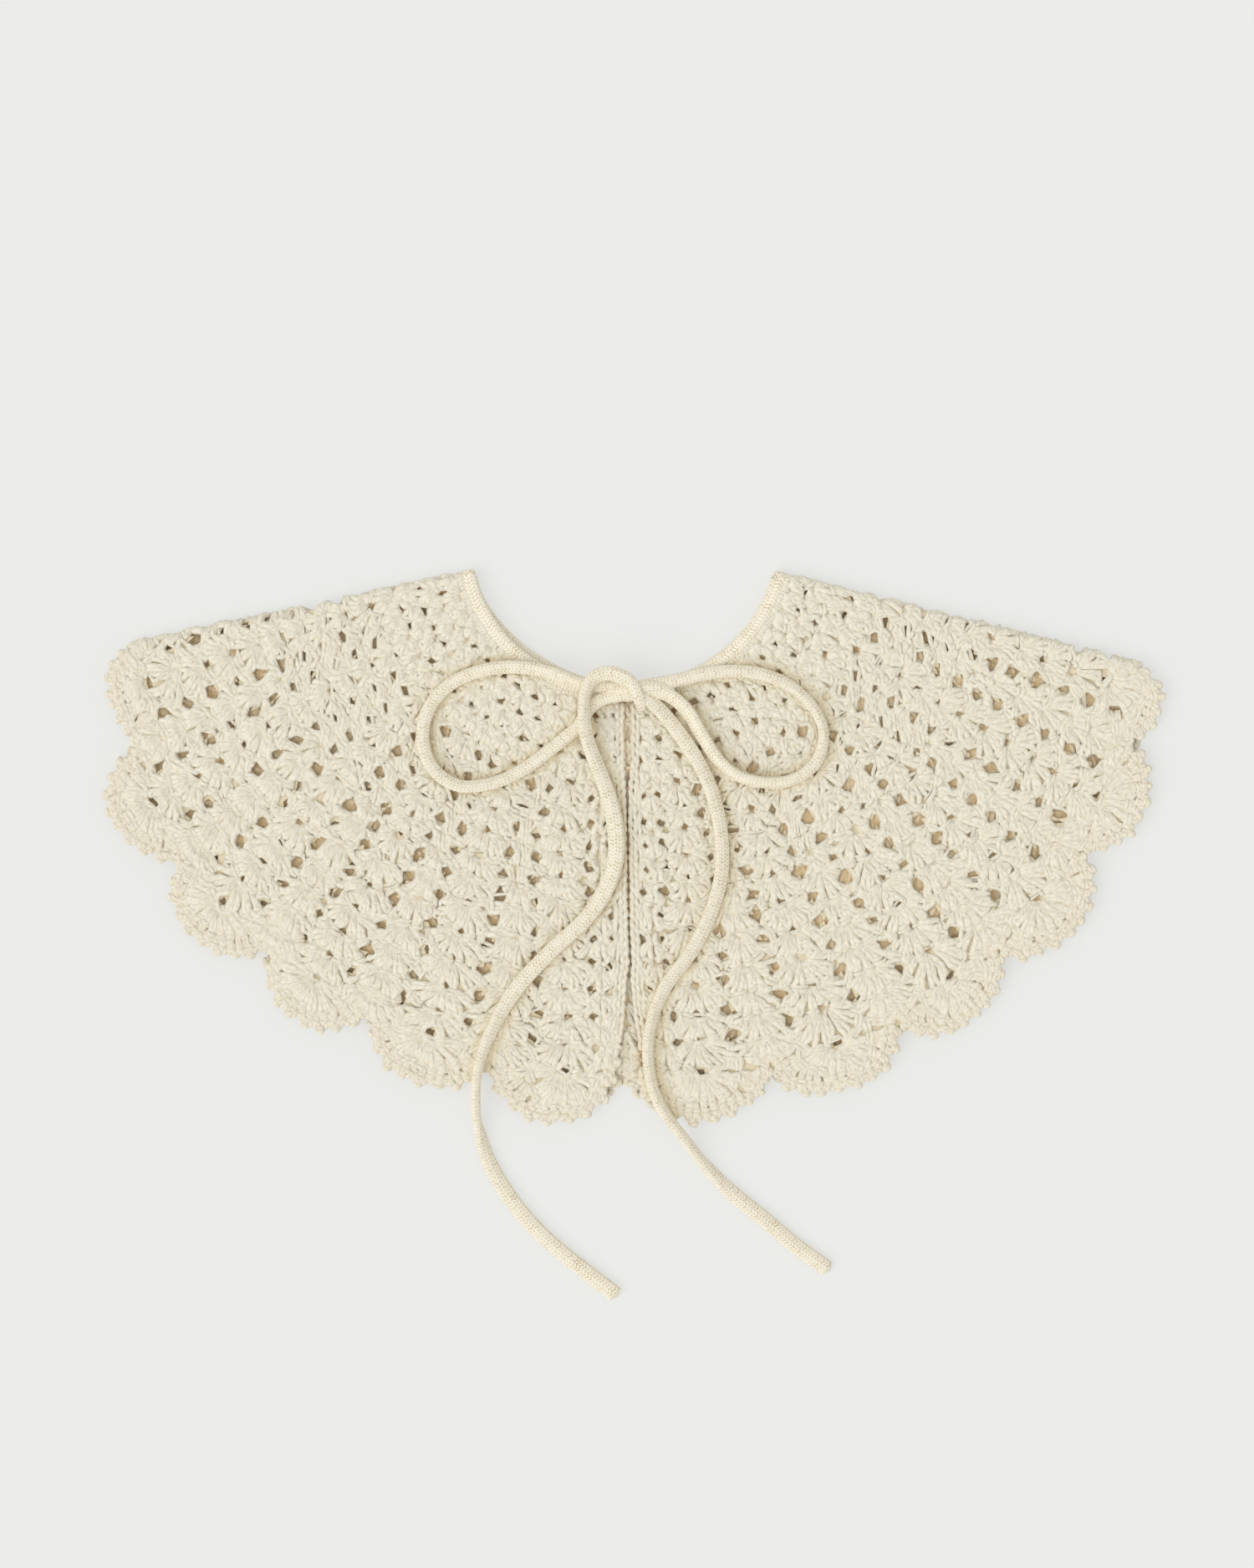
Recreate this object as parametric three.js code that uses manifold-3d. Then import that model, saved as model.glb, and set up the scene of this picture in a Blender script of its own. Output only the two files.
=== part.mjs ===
// Hand-crocheted shell-stitch cape collar, folded in half at the shoulders and lying flat, its two ties in a bow.
// Millimetres, +Z up, underside on z = 0. The front and the hem face -Y, the hollow of the neck faces +Y.
import * as THREE from "three";
import { mergeVertices } from "three/addons/utils/BufferGeometryUtils.js";
import Module from "manifold-3d";

const wasm = await Module();
wasm.setup();

// Driving sizes
const FABRIC = 3.4; // thickness of one layer of crochet
const LAYER_GAP = 0.8; // air between the two layers
const STACK = 2 * FABRIC + LAYER_GAP; // height of the folded collar
const GAP = 0.3; // room left between neighbouring pieces
const OVERLAP = 1.2; // how far the shapes joined into one piece run into each other
const ROLL_TRIM = 0.5; // what the turn at a fold loses at its ends, as a fold runs a little off the radius
const NECK_RADIUS = 72.4; // where the fold lines start
const BINDING_WIDTH = 6.6;
const EDGING_WIDTH = 7.2;
const BAND_WIDTH = 4.6;
const PICOTS_PER_SCALLOP = 10;
const PICOT_HEIGHT = 1.6;
const CORD_WIDTH = 7.2;
const CORD_THICKNESS = 4.8;
const CORD_SIDES = 8;
const NECK_STEPS = 36;
const CORD_STEP = 8;

// The centre that the neckline and the rows are curved about
const CURVE_CENTER = new THREE.Vector2(-4.33, 150.04);

// Radius of the neckline on each layer. The back one shows a little inside the front one on the left.
const FRONT_NECK = [
  { angle: -80, radius: 71.4 },
  { angle: -62, radius: 74.0 },
  { angle: -46, radius: 75.4 },
  { angle: -20, radius: 75.8 },
  { angle: 20, radius: 75.4 },
  { angle: 50, radius: 74.0 },
  { angle: 80, radius: 71.4 },
];
const BACK_NECK = [
  { angle: -80, radius: 71.4 },
  { angle: -62, radius: 73.6 },
  { angle: -46, radius: 73.2 },
  { angle: -30, radius: 73.0 },
  { angle: -17, radius: 73.6 },
  { angle: 4, radius: 75.0 },
  { angle: 50, radius: 74.0 },
  { angle: 80, radius: 71.4 },
];

// The fold lines at the shoulders, as angles from straight down at the neck and at the hem
const LEFT_FOLD = { neckAngle: -72.6, hemAngle: -76.4, hemRadius: 238, side: -1 };
const RIGHT_FOLD = { neckAngle: 72.0, hemAngle: 74.9, hemRadius: 248, side: 1 };

// The scallops of the hem, from the left fold to the right one. Each ends in a notch.
const LEFT_START = { angle: -75.5, radius: 238 };
const LEFT_SCALLOPS = [
  { toAngle: -65.3, tip: 251, notch: 244 },
  { toAngle: -52.7, tip: 274, notch: 253.5 },
  { toAngle: -39.7, tip: 276.5, notch: 251.5 },
  { toAngle: -27.2, tip: 275.5, notch: 251 },
  { toAngle: -13.9, tip: 276.5, notch: 256 },
  { toAngle: -0.4, tip: 279.5, notch: 243.5 },
];
const RIGHT_START = { angle: 0.9, radius: 252 };
const RIGHT_SCALLOPS = [
  { toAngle: 15.1, tip: 279, notch: 259 },
  { toAngle: 28.5, tip: 282, notch: 262 },
  { toAngle: 41.0, tip: 280.5, notch: 262 },
  { toAngle: 54.2, tip: 280.5, notch: 257 },
  { toAngle: 66.3, tip: 275.5, notch: 248.5 },
  { toAngle: 74.0, tip: 262, notch: 248 },
];
const BACK_SCALLOPS = [
  { toAngle: -65.6, tip: 249, notch: 246 },
  { toAngle: -53.0, tip: 270, notch: 250 },
  { toAngle: -40.2, tip: 272, notch: 252 },
  { toAngle: -27.4, tip: 272, notch: 252 },
  { toAngle: -13.8, tip: 272, notch: 253 },
  { toAngle: -0.2, tip: 272, notch: 253.5 },
  { toAngle: 14.0, tip: 274, notch: 256 },
  { toAngle: 27.6, tip: 275, notch: 258 },
  { toAngle: 41.0, tip: 275, notch: 260 },
  { toAngle: 54.2, tip: 274, notch: 259.5 },
  { toAngle: 66.4, tip: 270, notch: 252 },
  { toAngle: 74.0, tip: 257, notch: 248 },
];

// The eyelets stand in pairs on both sides of each ladder of posts between the shells. Near the hem the ladder has
// become a column of shells, and the eyelets have moved apart.
const LADDERS = [
  { upperLeft: -67.2, upperRight: -63.7, outerLeft: -67.6, outerRight: -62.2 },
  { upperLeft: -56.0, upperRight: -52.2, outerLeft: -56.0, outerRight: -50.0 },
  { upperLeft: -44.5, upperRight: -40.4, outerLeft: -43.4, outerRight: -37.6 },
  { upperLeft: -31.9, upperRight: -28.4, outerLeft: -31.0, outerRight: -25.0 },
  { upperLeft: -19.6, upperRight: -15.6, outerLeft: -17.1, outerRight: -10.2 },
  { upperLeft: -6.9, upperRight: 6.6, outerLeft: -3.9, outerRight: 5.6 },
  { upperLeft: 14.9, upperRight: 19.2, outerLeft: 12.0, outerRight: 18.2 },
  { upperLeft: 27.5, upperRight: 31.9, outerLeft: 25.7, outerRight: 31.7 },
  { upperLeft: 40.6, upperRight: 44.5, outerLeft: 38.6, outerRight: 44.7 },
  { upperLeft: 52.1, upperRight: 56.1, outerLeft: 50.9, outerRight: 55.9 },
  { upperLeft: 64.9, upperRight: 68.8, outerLeft: 62.9, outerRight: 69.0 },
];
const UPPER_ROWS = [149.4, 160.0, 170.4];
const OUTER_ROWS = [216.5, 229.0];
const UPPER_EYELET = { halfWidth: 2.6, halfHeight: 2.0 };
const OUTER_EYELET = { halfWidth: 2.1, halfHeight: 3.2 };

// The two edges of the centre-front opening, at distances below the curve centre
const OPENING = [
  { down: 60, left: -0.2, right: 2.8 },
  { down: 108, left: 0.2, right: 2.8 },
  { down: 128, left: 0.8, right: 1.6 },
  { down: 184, left: 1.6, right: 2.4 },
  { down: 203, left: 2.3, right: 3.1 },
  { down: 212, left: 1.3, right: 2.8 },
  { down: 230, left: 0.0, right: 4.6 },
  { down: 239, left: -1.1, right: 6.0 },
  { down: 300, left: -3.0, right: 6.6 },
];
const BAND_TOP = 83.6;
const LEFT_BAND_END = 236.5;
const RIGHT_BAND_END = 243.5;

// Routes of the knitted cord, from the curve centre: x to the right, y up, z above the surface
const LOOP_LEFT_ROUTE = [
  [-8.0, -76.6, 10.8], [-19.5, -75.2, 10.4], [-34.0, -70.0, 10.4], [-50.0, -67.4, 10.4], [-66.0, -69.2, 10.4],
  [-80.5, -75.7, 10.4], [-90.0, -87.0, 10.4], [-92.6, -101.3, 10.4], [-88.0, -113.8, 10.4], [-76.6, -121.7, 10.4],
  [-62.0, -121.0, 10.4], [-48.5, -115.5, 10.4], [-36.0, -106.8, 10.4], [-27.0, -99.6, 10.4], [-20.9, -94.2, 10.4],
  [-16.6, -86.9, 10.5], [-10.5, -82.2, 10.8],
];
const LOOP_RIGHT_ROUTE = [
  [22.0, -73.9, 10.4], [36.2, -70.7, 10.4], [50.0, -69.2, 10.4], [64.0, -70.9, 10.4], [77.2, -76.9, 10.4],
  [87.3, -86.9, 10.4], [91.4, -98.0, 10.4], [88.0, -110.8, 10.4], [77.5, -118.8, 10.4], [65.0, -120.4, 10.4],
  [52.0, -117.2, 10.4], [42.4, -109.2, 10.4], [35.1, -98.0, 10.4], [28.6, -87.3, 10.4], [24.2, -83.0, 10.4],
];
const TAIL_LEFT_ROUTE = [
  [-0.5, -72.6, 16.0], [-6.9, -70.4, 17.0], [-13.2, -72.0, 17.0], [-17.4, -77.6, 16.3], [-18.6, -86.0, 15.8],
  [-17.8, -97.0, 15.6], [-15.2, -106.0, 12.6], [-11.3, -115.8, 10.6], [-6.8, -128.5, 10.4], [-4.1, -142.0, 10.4],
  [-4.2, -156.0, 10.4], [-8.7, -169.4, 10.4], [-17.6, -182.7, 10.4], [-34.0, -198.0, 10.4], [-50.0, -215.5, 10.4],
  [-60.5, -233.0, 10.4], [-66.9, -250.4, 10.4], [-68.2, -263.0, 10.4], [-68.0, -275.0, 6.4], [-65.4, -286.5, 3.4],
  [-61.6, -297.0, 2.9], [-52.0, -312.8, 2.8], [-38.0, -329.0, 2.8], [-20.8, -343.4, 2.8], [-3.0, -357.0, 2.8],
];
const TAIL_RIGHT_ROUTE = [
  [12.5, -83.4, 11.4], [19.4, -90.5, 10.4], [29.3, -103.8, 10.4], [37.2, -117.4, 10.4], [42.2, -132.1, 10.4],
  [44.6, -147.3, 10.4], [44.3, -163.2, 10.4], [39.6, -180.1, 10.4], [30.8, -197.7, 10.4], [18.6, -214.4, 10.4],
  [12.3, -230.6, 10.4], [10.8, -246.0, 10.4], [13.3, -261.5, 10.4], [18.4, -272.0, 10.4], [23.9, -279.4, 9.9],
  [29.1, -286.1, 6.4], [34.1, -292.9, 3.6], [40.2, -300.1, 2.8], [51.5, -311.2, 2.7], [65.2, -322.2, 2.7],
  [79.4, -334.2, 2.7], [94.8, -345.2, 2.7],
];

// The knot: a wrapped middle and the bunched roots of the two loops, as centres and half sizes
const KNOT_LUMPS = [
  { x: 5.0, y: -78.6, z: 12.6, halfX: 7.2, halfY: 8.6, halfZ: 4.6 },
  { x: 15.0, y: -77.2, z: 11.4, halfX: 11.5, halfY: 6.0, halfZ: 3.4 },
  { x: -6.5, y: -80.8, z: 11.4, halfX: 9.0, halfY: 6.6, halfZ: 3.4 },
];

// Colours of the yarn
const IVORY_YARN = 0xefe8d4;
const WARM_YARN = 0xf0e6cc;
const KNIT_YARN = 0xece7d3;

const { degToRad, radToDeg, lerp } = THREE.MathUtils;

// A point at an angle from straight down and a distance from the curve centre
function polar(angle, radius) {
  const a = degToRad(angle);
  return new THREE.Vector2(radius * Math.sin(a), -radius * Math.cos(a)).add(CURVE_CENTER);
}

function angleOf(point) {
  return radToDeg(Math.atan2(point.x - CURVE_CENTER.x, CURVE_CENTER.y - point.y));
}

// A closed geometry becomes a solid that can be joined and cut
function toSolid(geometry) {
  const bare = geometry.clone();
  bare.deleteAttribute("normal");
  bare.deleteAttribute("uv");
  const merged = mergeVertices(bare, 1e-4);
  const vertProperties = new Float32Array(merged.attributes.position.array);
  const triVerts = new Uint32Array(merged.index.array);
  return new wasm.Manifold(new wasm.Mesh({ numProp: 3, vertProperties, triVerts }));
}

function toMesh(name, solid, color) {
  const found = solid.getMesh();
  const geometry = new THREE.BufferGeometry();
  geometry.setAttribute("position", new THREE.BufferAttribute(new Float32Array(found.vertProperties), 3));
  geometry.setIndex(new THREE.BufferAttribute(new Uint32Array(found.triVerts), 1));
  geometry.computeVertexNormals();
  const mesh = new THREE.Mesh(geometry, new THREE.MeshStandardMaterial({ color, roughness: 0.95, metalness: 0 }));
  mesh.name = name;
  return mesh;
}

function joined(solids) {
  return solids.reduce((whole, solid) => whole.add(solid));
}

// A flat plate from an outline, with holes through it, between two heights
function plate(outline, low, high, holes = []) {
  const shape = new THREE.Shape(outline);
  shape.holes = holes.map((points) => new THREE.Path(points));
  const geometry = new THREE.ExtrudeGeometry(shape, { depth: high - low, bevelEnabled: false });
  geometry.translate(0, 0, low);
  return toSolid(geometry);
}

// A point beside a fold line, that far from the neck end of it, and moved in from the outer side of the roll
function foldPoint(fold, radius, inset) {
  const neck = polar(fold.neckAngle, NECK_RADIUS);
  const along = polar(fold.hemAngle, fold.hemRadius).sub(neck).normalize();
  const inwards = new THREE.Vector2(along.y, -along.x).multiplyScalar(fold.side);
  return neck.addScaledVector(along, radius - NECK_RADIUS).addScaledVector(inwards, inset);
}

// The round turn of the fabric along a fold line, from the front layer down to the back one
function foldRoll(fold, fromRadius, toRadius) {
  const outer = STACK / 2;
  const inner = LAYER_GAP / 2;
  const ends = [foldPoint(fold, fromRadius, outer), foldPoint(fold, toRadius, outer)];
  if (fold.side < 0) ends.reverse();
  const along = ends[1].clone().sub(ends[0]).normalize();
  const section = new THREE.Shape();
  section.moveTo(-OVERLAP, 0);
  for (let k = 0; k <= 6; k += 1) {
    const a = -Math.PI / 2 + (Math.PI * k) / 6;
    section.lineTo(outer * Math.cos(a), outer + outer * Math.sin(a));
  }
  section.lineTo(-OVERLAP, STACK);
  section.lineTo(-OVERLAP, STACK - FABRIC);
  for (let k = 0; k <= 4; k += 1) {
    const a = Math.PI / 2 - (Math.PI * k) / 4;
    section.lineTo(inner * Math.cos(a), outer + inner * Math.sin(a));
  }
  section.lineTo(-OVERLAP, FABRIC);
  section.closePath();
  const geometry = new THREE.ExtrudeGeometry(section, { depth: ends[0].distanceTo(ends[1]), bevelEnabled: false });
  const place = new THREE.Matrix4().makeBasis(
    new THREE.Vector3(-along.y, along.x, 0),
    new THREE.Vector3(0, 0, 1),
    new THREE.Vector3(along.x, along.y, 0),
  );
  place.setPosition(ends[0].x, ends[0].y, 0);
  geometry.applyMatrix4(place);
  return toSolid(geometry);
}

// A scalloped stretch of hem. An inset moves the whole edge inwards, but not its two ends sideways.
function hemPoints(start, scallops, inset, steps, picotHeight = 0) {
  const last = scallops[scallops.length - 1];
  const points = [polar(start.angle, start.radius - inset)];
  let from = start;
  for (const scallop of scallops) {
    const middle = (from.angle + scallop.toAngle) / 2;
    const half = (scallop.toAngle - from.angle) / 2 - radToDeg(inset / from.radius);
    for (let k = 0; k <= steps; k += 1) {
      const turn = (Math.PI * k) / steps;
      const notch = lerp(from.radius, scallop.notch, (1 - Math.cos(turn)) / 2);
      const picot = (k % 2 ? picotHeight / 2 : -picotHeight / 2) * Math.sin(turn);
      const radius = notch + (scallop.tip - notch) * Math.sin(turn) + picot - inset;
      points.push(polar(middle - half * Math.cos(turn), radius));
    }
    from = { angle: scallop.toAngle, radius: scallop.notch };
  }
  points.push(polar(last.toAngle, last.notch - inset));
  return points.filter((point, k) => k === 0 || point.distanceTo(points[k - 1]) > 0.05);
}

// The neckline of a layer, moved outwards by an inset, between two angles
function neckPoints(rows, inset, fromAngle, toAngle) {
  const points = [];
  for (let k = 0; k <= NECK_STEPS; k += 1) {
    const angle = lerp(fromAngle, toAngle, k / NECK_STEPS);
    const next = Math.max(rows.findIndex((row) => row.angle >= angle), 1);
    const [a, b] = [rows[next - 1], rows[next]];
    const radius = lerp(a.radius, b.radius, (angle - a.angle) / (b.angle - a.angle));
    points.push(polar(angle, radius + inset));
  }
  return points;
}

// Where a layer of fabric runs under the rolls of the two folds
function foldAngles(radius) {
  const inset = STACK / 2 + OVERLAP / 2;
  return [LEFT_FOLD, RIGHT_FOLD].map((fold) => angleOf(foldPoint(fold, radius, inset)));
}

// The space of the centre-front opening, wider by a margin on both sides
function openingOutline(margin, fromDown, toDown) {
  const rows = OPENING.filter((row) => row.down > fromDown && row.down < toDown);
  const rowAt = (down) => {
    const next = OPENING.findIndex((row) => row.down >= down);
    const [a, b] = [OPENING[Math.max(next - 1, 0)], OPENING[next]];
    const share = a === b ? 0 : (down - a.down) / (b.down - a.down);
    return { down, left: lerp(a.left, b.left, share), right: lerp(a.right, b.right, share) };
  };
  const all = [rowAt(fromDown), ...rows, rowAt(toDown)];
  const at = (x, down) => new THREE.Vector2(x, -down).add(CURVE_CENTER);
  const left = all.map((row) => at(row.left - margin, row.down));
  const right = all.map((row) => at(row.right + margin, row.down));
  return { left, right, ring: [...left, ...right.reverse()] };
}

const FRONT_LOW = STACK - FABRIC;
const openingCut = plate(openingOutline(0, 60, 300).ring, FRONT_LOW - 0.2, STACK + 1);

// Five-cornered eyelets, wide at the top, at both sides of every ladder
function eyelets() {
  const holes = [];
  const corners = [[-1, 0.75], [0.25, 1], [1, 0.7], [0.35, -1], [-0.45, -0.9]];
  const addRow = (radius, leftKey, rightKey, size) => {
    for (const ladder of LADDERS) {
      for (const [angle, lean] of [[ladder[leftKey], 1], [ladder[rightKey], -1]]) {
        holes.push(corners.map(([across, up]) => {
          const turn = radToDeg((lean * across * size.halfWidth) / radius);
          return polar(angle + turn, radius - up * size.halfHeight);
        }));
      }
    }
  };
  for (const radius of UPPER_ROWS) addRow(radius, "upperLeft", "upperRight", UPPER_EYELET);
  for (const radius of OUTER_ROWS) addRow(radius, "outerLeft", "outerRight", OUTER_EYELET);
  return holes;
}

function crochetBody() {
  const innerRadius = NECK_RADIUS + BINDING_WIDTH + GAP;
  const inset = EDGING_WIDTH + GAP;
  const [leftAngle, rightAngle] = foldAngles(innerRadius);
  const frontHem = [
    ...hemPoints(LEFT_START, LEFT_SCALLOPS, inset, 8),
    ...hemPoints(RIGHT_START, RIGHT_SCALLOPS, inset, 8),
  ];
  const neck = (rows) => neckPoints(rows, BINDING_WIDTH + GAP, rightAngle, leftAngle);
  const front = plate([...neck(FRONT_NECK), ...frontHem], FRONT_LOW, STACK, eyelets());
  const back = plate([...neck(BACK_NECK), ...hemPoints(LEFT_START, BACK_SCALLOPS, inset, 8)], 0, FABRIC);
  const bandsCut = plate(openingOutline(BAND_WIDTH + GAP, 60, 250).ring, FRONT_LOW - 0.2, STACK + 1);
  const halves = front.subtract(openingCut).subtract(bandsCut);
  const rolls = [LEFT_FOLD, RIGHT_FOLD].map((fold) => {
    return foldRoll(fold, innerRadius + ROLL_TRIM, fold.hemRadius - inset - ROLL_TRIM);
  });
  return joined([halves, back, ...rolls]);
}

function neckBinding() {
  const outerRadius = NECK_RADIUS + BINDING_WIDTH;
  const [leftAngle, rightAngle] = foldAngles((NECK_RADIUS + outerRadius) / 2);
  const arc = (rows, low, high) => {
    const inside = neckPoints(rows, 0, leftAngle, rightAngle);
    const outside = neckPoints(rows, BINDING_WIDTH, rightAngle, leftAngle);
    return plate([...inside, ...outside], low, high);
  };
  const front = arc(FRONT_NECK, FRONT_LOW, STACK).subtract(openingCut);
  const rolls = [LEFT_FOLD, RIGHT_FOLD].map((fold) => {
    return foldRoll(fold, NECK_RADIUS + ROLL_TRIM, outerRadius - ROLL_TRIM);
  });
  return joined([front, arc(BACK_NECK, 0, FABRIC), ...rolls]);
}

// The picot edging along the scallops of both layers
function picotEdging() {
  const steps = 2 * PICOTS_PER_SCALLOP;
  const strip = (start, scallops, low, high) => {
    const outside = hemPoints(start, scallops, 0, steps, PICOT_HEIGHT);
    const inside = hemPoints(start, scallops, EDGING_WIDTH, 8).reverse();
    return plate([...outside, ...inside], low, high);
  };
  const bandsCut = plate(openingOutline(BAND_WIDTH + GAP, 60, 237).ring, FRONT_LOW - 0.2, STACK + 1);
  const front = joined([
    strip(LEFT_START, LEFT_SCALLOPS, FRONT_LOW, STACK),
    strip(RIGHT_START, RIGHT_SCALLOPS, FRONT_LOW, STACK),
  ]).subtract(openingCut).subtract(bandsCut);
  const back = strip(LEFT_START, BACK_SCALLOPS, 0, FABRIC);
  const rolls = [LEFT_FOLD, RIGHT_FOLD].map((fold) => {
    return foldRoll(fold, fold.hemRadius - EDGING_WIDTH + ROLL_TRIM, fold.hemRadius - ROLL_TRIM);
  });
  return joined([front, back, ...rolls]);
}

// One of the narrow bands along the centre-front opening
function edgeBand(side, fromDown, toDown) {
  const edge = openingOutline(0, fromDown, toDown);
  const far = openingOutline(BAND_WIDTH, fromDown, toDown);
  const ring = side < 0 ? [...far.left, ...edge.left.reverse()] : [...edge.right.reverse(), ...far.right];
  return plate(ring, FRONT_LOW, STACK);
}

// A flattened cord along its route
function cord(route) {
  const points = route.map(([x, y, z]) => new THREE.Vector3(x + CURVE_CENTER.x, y + CURVE_CENTER.y, z));
  const path = new THREE.CatmullRomCurve3(points, false, "centripetal");
  const section = new THREE.Shape();
  const fullSize = 1 / Math.cos(Math.PI / CORD_SIDES);
  for (let k = 0; k < CORD_SIDES; k += 1) {
    const a = (2 * Math.PI * (k + 0.5)) / CORD_SIDES;
    const corner = [(CORD_THICKNESS / 2) * Math.cos(a) * fullSize, (CORD_WIDTH / 2) * Math.sin(a) * fullSize];
    if (k === 0) section.moveTo(...corner);
    else section.lineTo(...corner);
  }
  section.closePath();
  const steps = Math.round(path.getLength() / CORD_STEP);
  return toSolid(new THREE.ExtrudeGeometry(section, { steps, extrudePath: path, bevelEnabled: false }));
}

// The knot, or with a margin the room that the cords leave for it
function knot(margin) {
  const lumps = KNOT_LUMPS.map(({ x, y, z, halfX, halfY, halfZ }) => {
    const ball = new THREE.SphereGeometry(1, 14, 10);
    ball.scale(halfX + margin, halfY + margin, halfZ + margin);
    ball.translate(x + CURVE_CENTER.x, y + CURVE_CENTER.y, z);
    return toSolid(ball);
  });
  return joined(lumps);
}

const knotRoom = knot(GAP + 0.2);

const collar = new THREE.Group();
collar.add(
  toMesh("crochet_body", crochetBody(), IVORY_YARN),
  toMesh("neck_binding", neckBinding(), KNIT_YARN),
  toMesh("front_band_left", edgeBand(-1, BAND_TOP, LEFT_BAND_END), IVORY_YARN),
  toMesh("front_band_right", edgeBand(1, BAND_TOP, RIGHT_BAND_END), IVORY_YARN),
  toMesh("picot_edging", picotEdging(), WARM_YARN),
  toMesh("bow_knot", knot(0), KNIT_YARN),
  toMesh("bow_loop_left", cord(LOOP_LEFT_ROUTE).subtract(knotRoom), KNIT_YARN),
  toMesh("bow_loop_right", cord(LOOP_RIGHT_ROUTE).subtract(knotRoom), KNIT_YARN),
  toMesh("tie_tail_left", cord(TAIL_LEFT_ROUTE).subtract(knotRoom), KNIT_YARN),
  toMesh("tie_tail_right", cord(TAIL_RIGHT_ROUTE).subtract(knotRoom), KNIT_YARN),
);

export default collar;
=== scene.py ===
# Hand-crocheted shell-stitch cape collar, folded at both shoulders and lying flat, its two ties in a bow.
# Sizes in the lists are millimetres, as in the part's source. Blender's are metres.
import math
import random
import bpy
import numpy
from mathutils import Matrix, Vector, kdtree, noise


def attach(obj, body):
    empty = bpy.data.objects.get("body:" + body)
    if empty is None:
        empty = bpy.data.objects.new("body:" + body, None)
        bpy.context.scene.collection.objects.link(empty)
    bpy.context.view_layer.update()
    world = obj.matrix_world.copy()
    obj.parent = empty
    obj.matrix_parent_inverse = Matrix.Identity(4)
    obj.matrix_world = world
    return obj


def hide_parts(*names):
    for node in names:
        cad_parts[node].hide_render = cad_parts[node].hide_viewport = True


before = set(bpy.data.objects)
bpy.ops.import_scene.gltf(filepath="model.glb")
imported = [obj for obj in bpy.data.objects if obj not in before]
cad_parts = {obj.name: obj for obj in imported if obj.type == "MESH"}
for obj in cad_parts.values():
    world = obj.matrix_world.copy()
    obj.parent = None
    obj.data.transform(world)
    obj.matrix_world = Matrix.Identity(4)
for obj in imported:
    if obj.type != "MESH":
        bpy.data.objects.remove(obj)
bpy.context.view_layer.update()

MM = 0.001
STACK = 7.6
FRONT_MIDDLE = 5.9
BACK_MIDDLE = 1.7
ROLL_OUTER = STACK / 2
ROLL_MIDDLE = FRONT_MIDDLE - ROLL_OUTER
NECK_RADIUS = 72.4
CORNER = 8.0
BINDING_WIDTH = 6.6
BAND_WIDTH = 4.6
CENTER_X = -4.33
CENTER_Y = 150.04
RANDOM_SEED = 7


def lerp(a, b, share):
    return a + (b - a) * share


def clamp(value, low=0.0, high=1.0):
    return max(low, min(high, value))


# Camera, straight above
scene = bpy.context.scene
scene.view_settings.view_transform = "Standard"
camera_data = bpy.data.cameras.new("camera")
camera_data.lens = 85
camera_data.sensor_width = 36
camera = bpy.data.objects.new("camera", camera_data)
camera.location = (-0.0032, 0.0290, 1.7095)
scene.collection.objects.link(camera)
scene.camera = camera

# Routes of the knitted cord, from the curve centre, with its ends inside the knot
LOOP_LEFT = [
    (3.9, -77.0, 12.4), (-8.0, -76.6, 10.8), (-19.5, -75.2, 10.4), (-34.0, -70.0, 10.4),
    (-50.0, -67.4, 10.4), (-66.0, -69.2, 10.4), (-80.5, -75.7, 10.4), (-90.0, -87.0, 10.4),
    (-92.6, -101.3, 10.4), (-88.0, -113.8, 10.4), (-76.6, -121.7, 10.4), (-62.0, -121.0, 10.4),
    (-48.5, -115.5, 10.4), (-36.0, -106.8, 10.4), (-27.0, -99.6, 10.4), (-20.9, -94.2, 10.4),
    (-16.6, -86.9, 10.5), (-10.5, -82.2, 10.8), (3.9, -79.4, 12.4),
]
LOOP_RIGHT = [
    (6.2, -76.2, 12.4), (15.0, -75.0, 10.9), (22.0, -73.9, 10.4), (36.2, -70.7, 10.4), (50.0, -69.2, 10.4),
    (64.0, -70.9, 10.4), (77.2, -76.9, 10.4), (87.3, -86.9, 10.4), (91.4, -98.0, 10.4),
    (88.0, -110.8, 10.4), (77.5, -118.8, 10.4), (65.0, -120.4, 10.4), (52.0, -117.2, 10.4),
    (42.4, -109.2, 10.4), (35.1, -98.0, 10.4), (28.6, -87.3, 10.4), (20.3, -80.4, 10.9),
    (7.2, -77.4, 12.4),
]
TAIL_LEFT = [
    (4.4, -76.0, 13.6), (-0.5, -72.6, 16.0), (-6.9, -70.4, 17.0), (-13.2, -72.0, 17.0),
    (-17.4, -77.6, 16.3), (-18.6, -86.0, 15.8), (-17.8, -97.0, 15.6), (-15.2, -106.0, 12.6),
    (-11.3, -115.8, 10.6), (-6.8, -128.5, 10.4), (-4.1, -142.0, 10.4), (-4.2, -156.0, 10.4),
    (-8.7, -169.4, 10.4), (-17.6, -182.7, 10.4), (-34.0, -198.0, 10.4), (-50.0, -215.5, 10.4),
    (-60.5, -233.0, 10.4), (-66.9, -250.4, 10.4), (-68.2, -263.0, 10.4), (-68.0, -275.0, 6.4),
    (-65.4, -286.5, 3.4), (-61.6, -297.0, 2.9), (-52.0, -312.8, 2.8), (-38.0, -329.0, 2.8),
    (-20.8, -343.4, 2.8), (-3.0, -357.0, 2.8),
]
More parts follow.
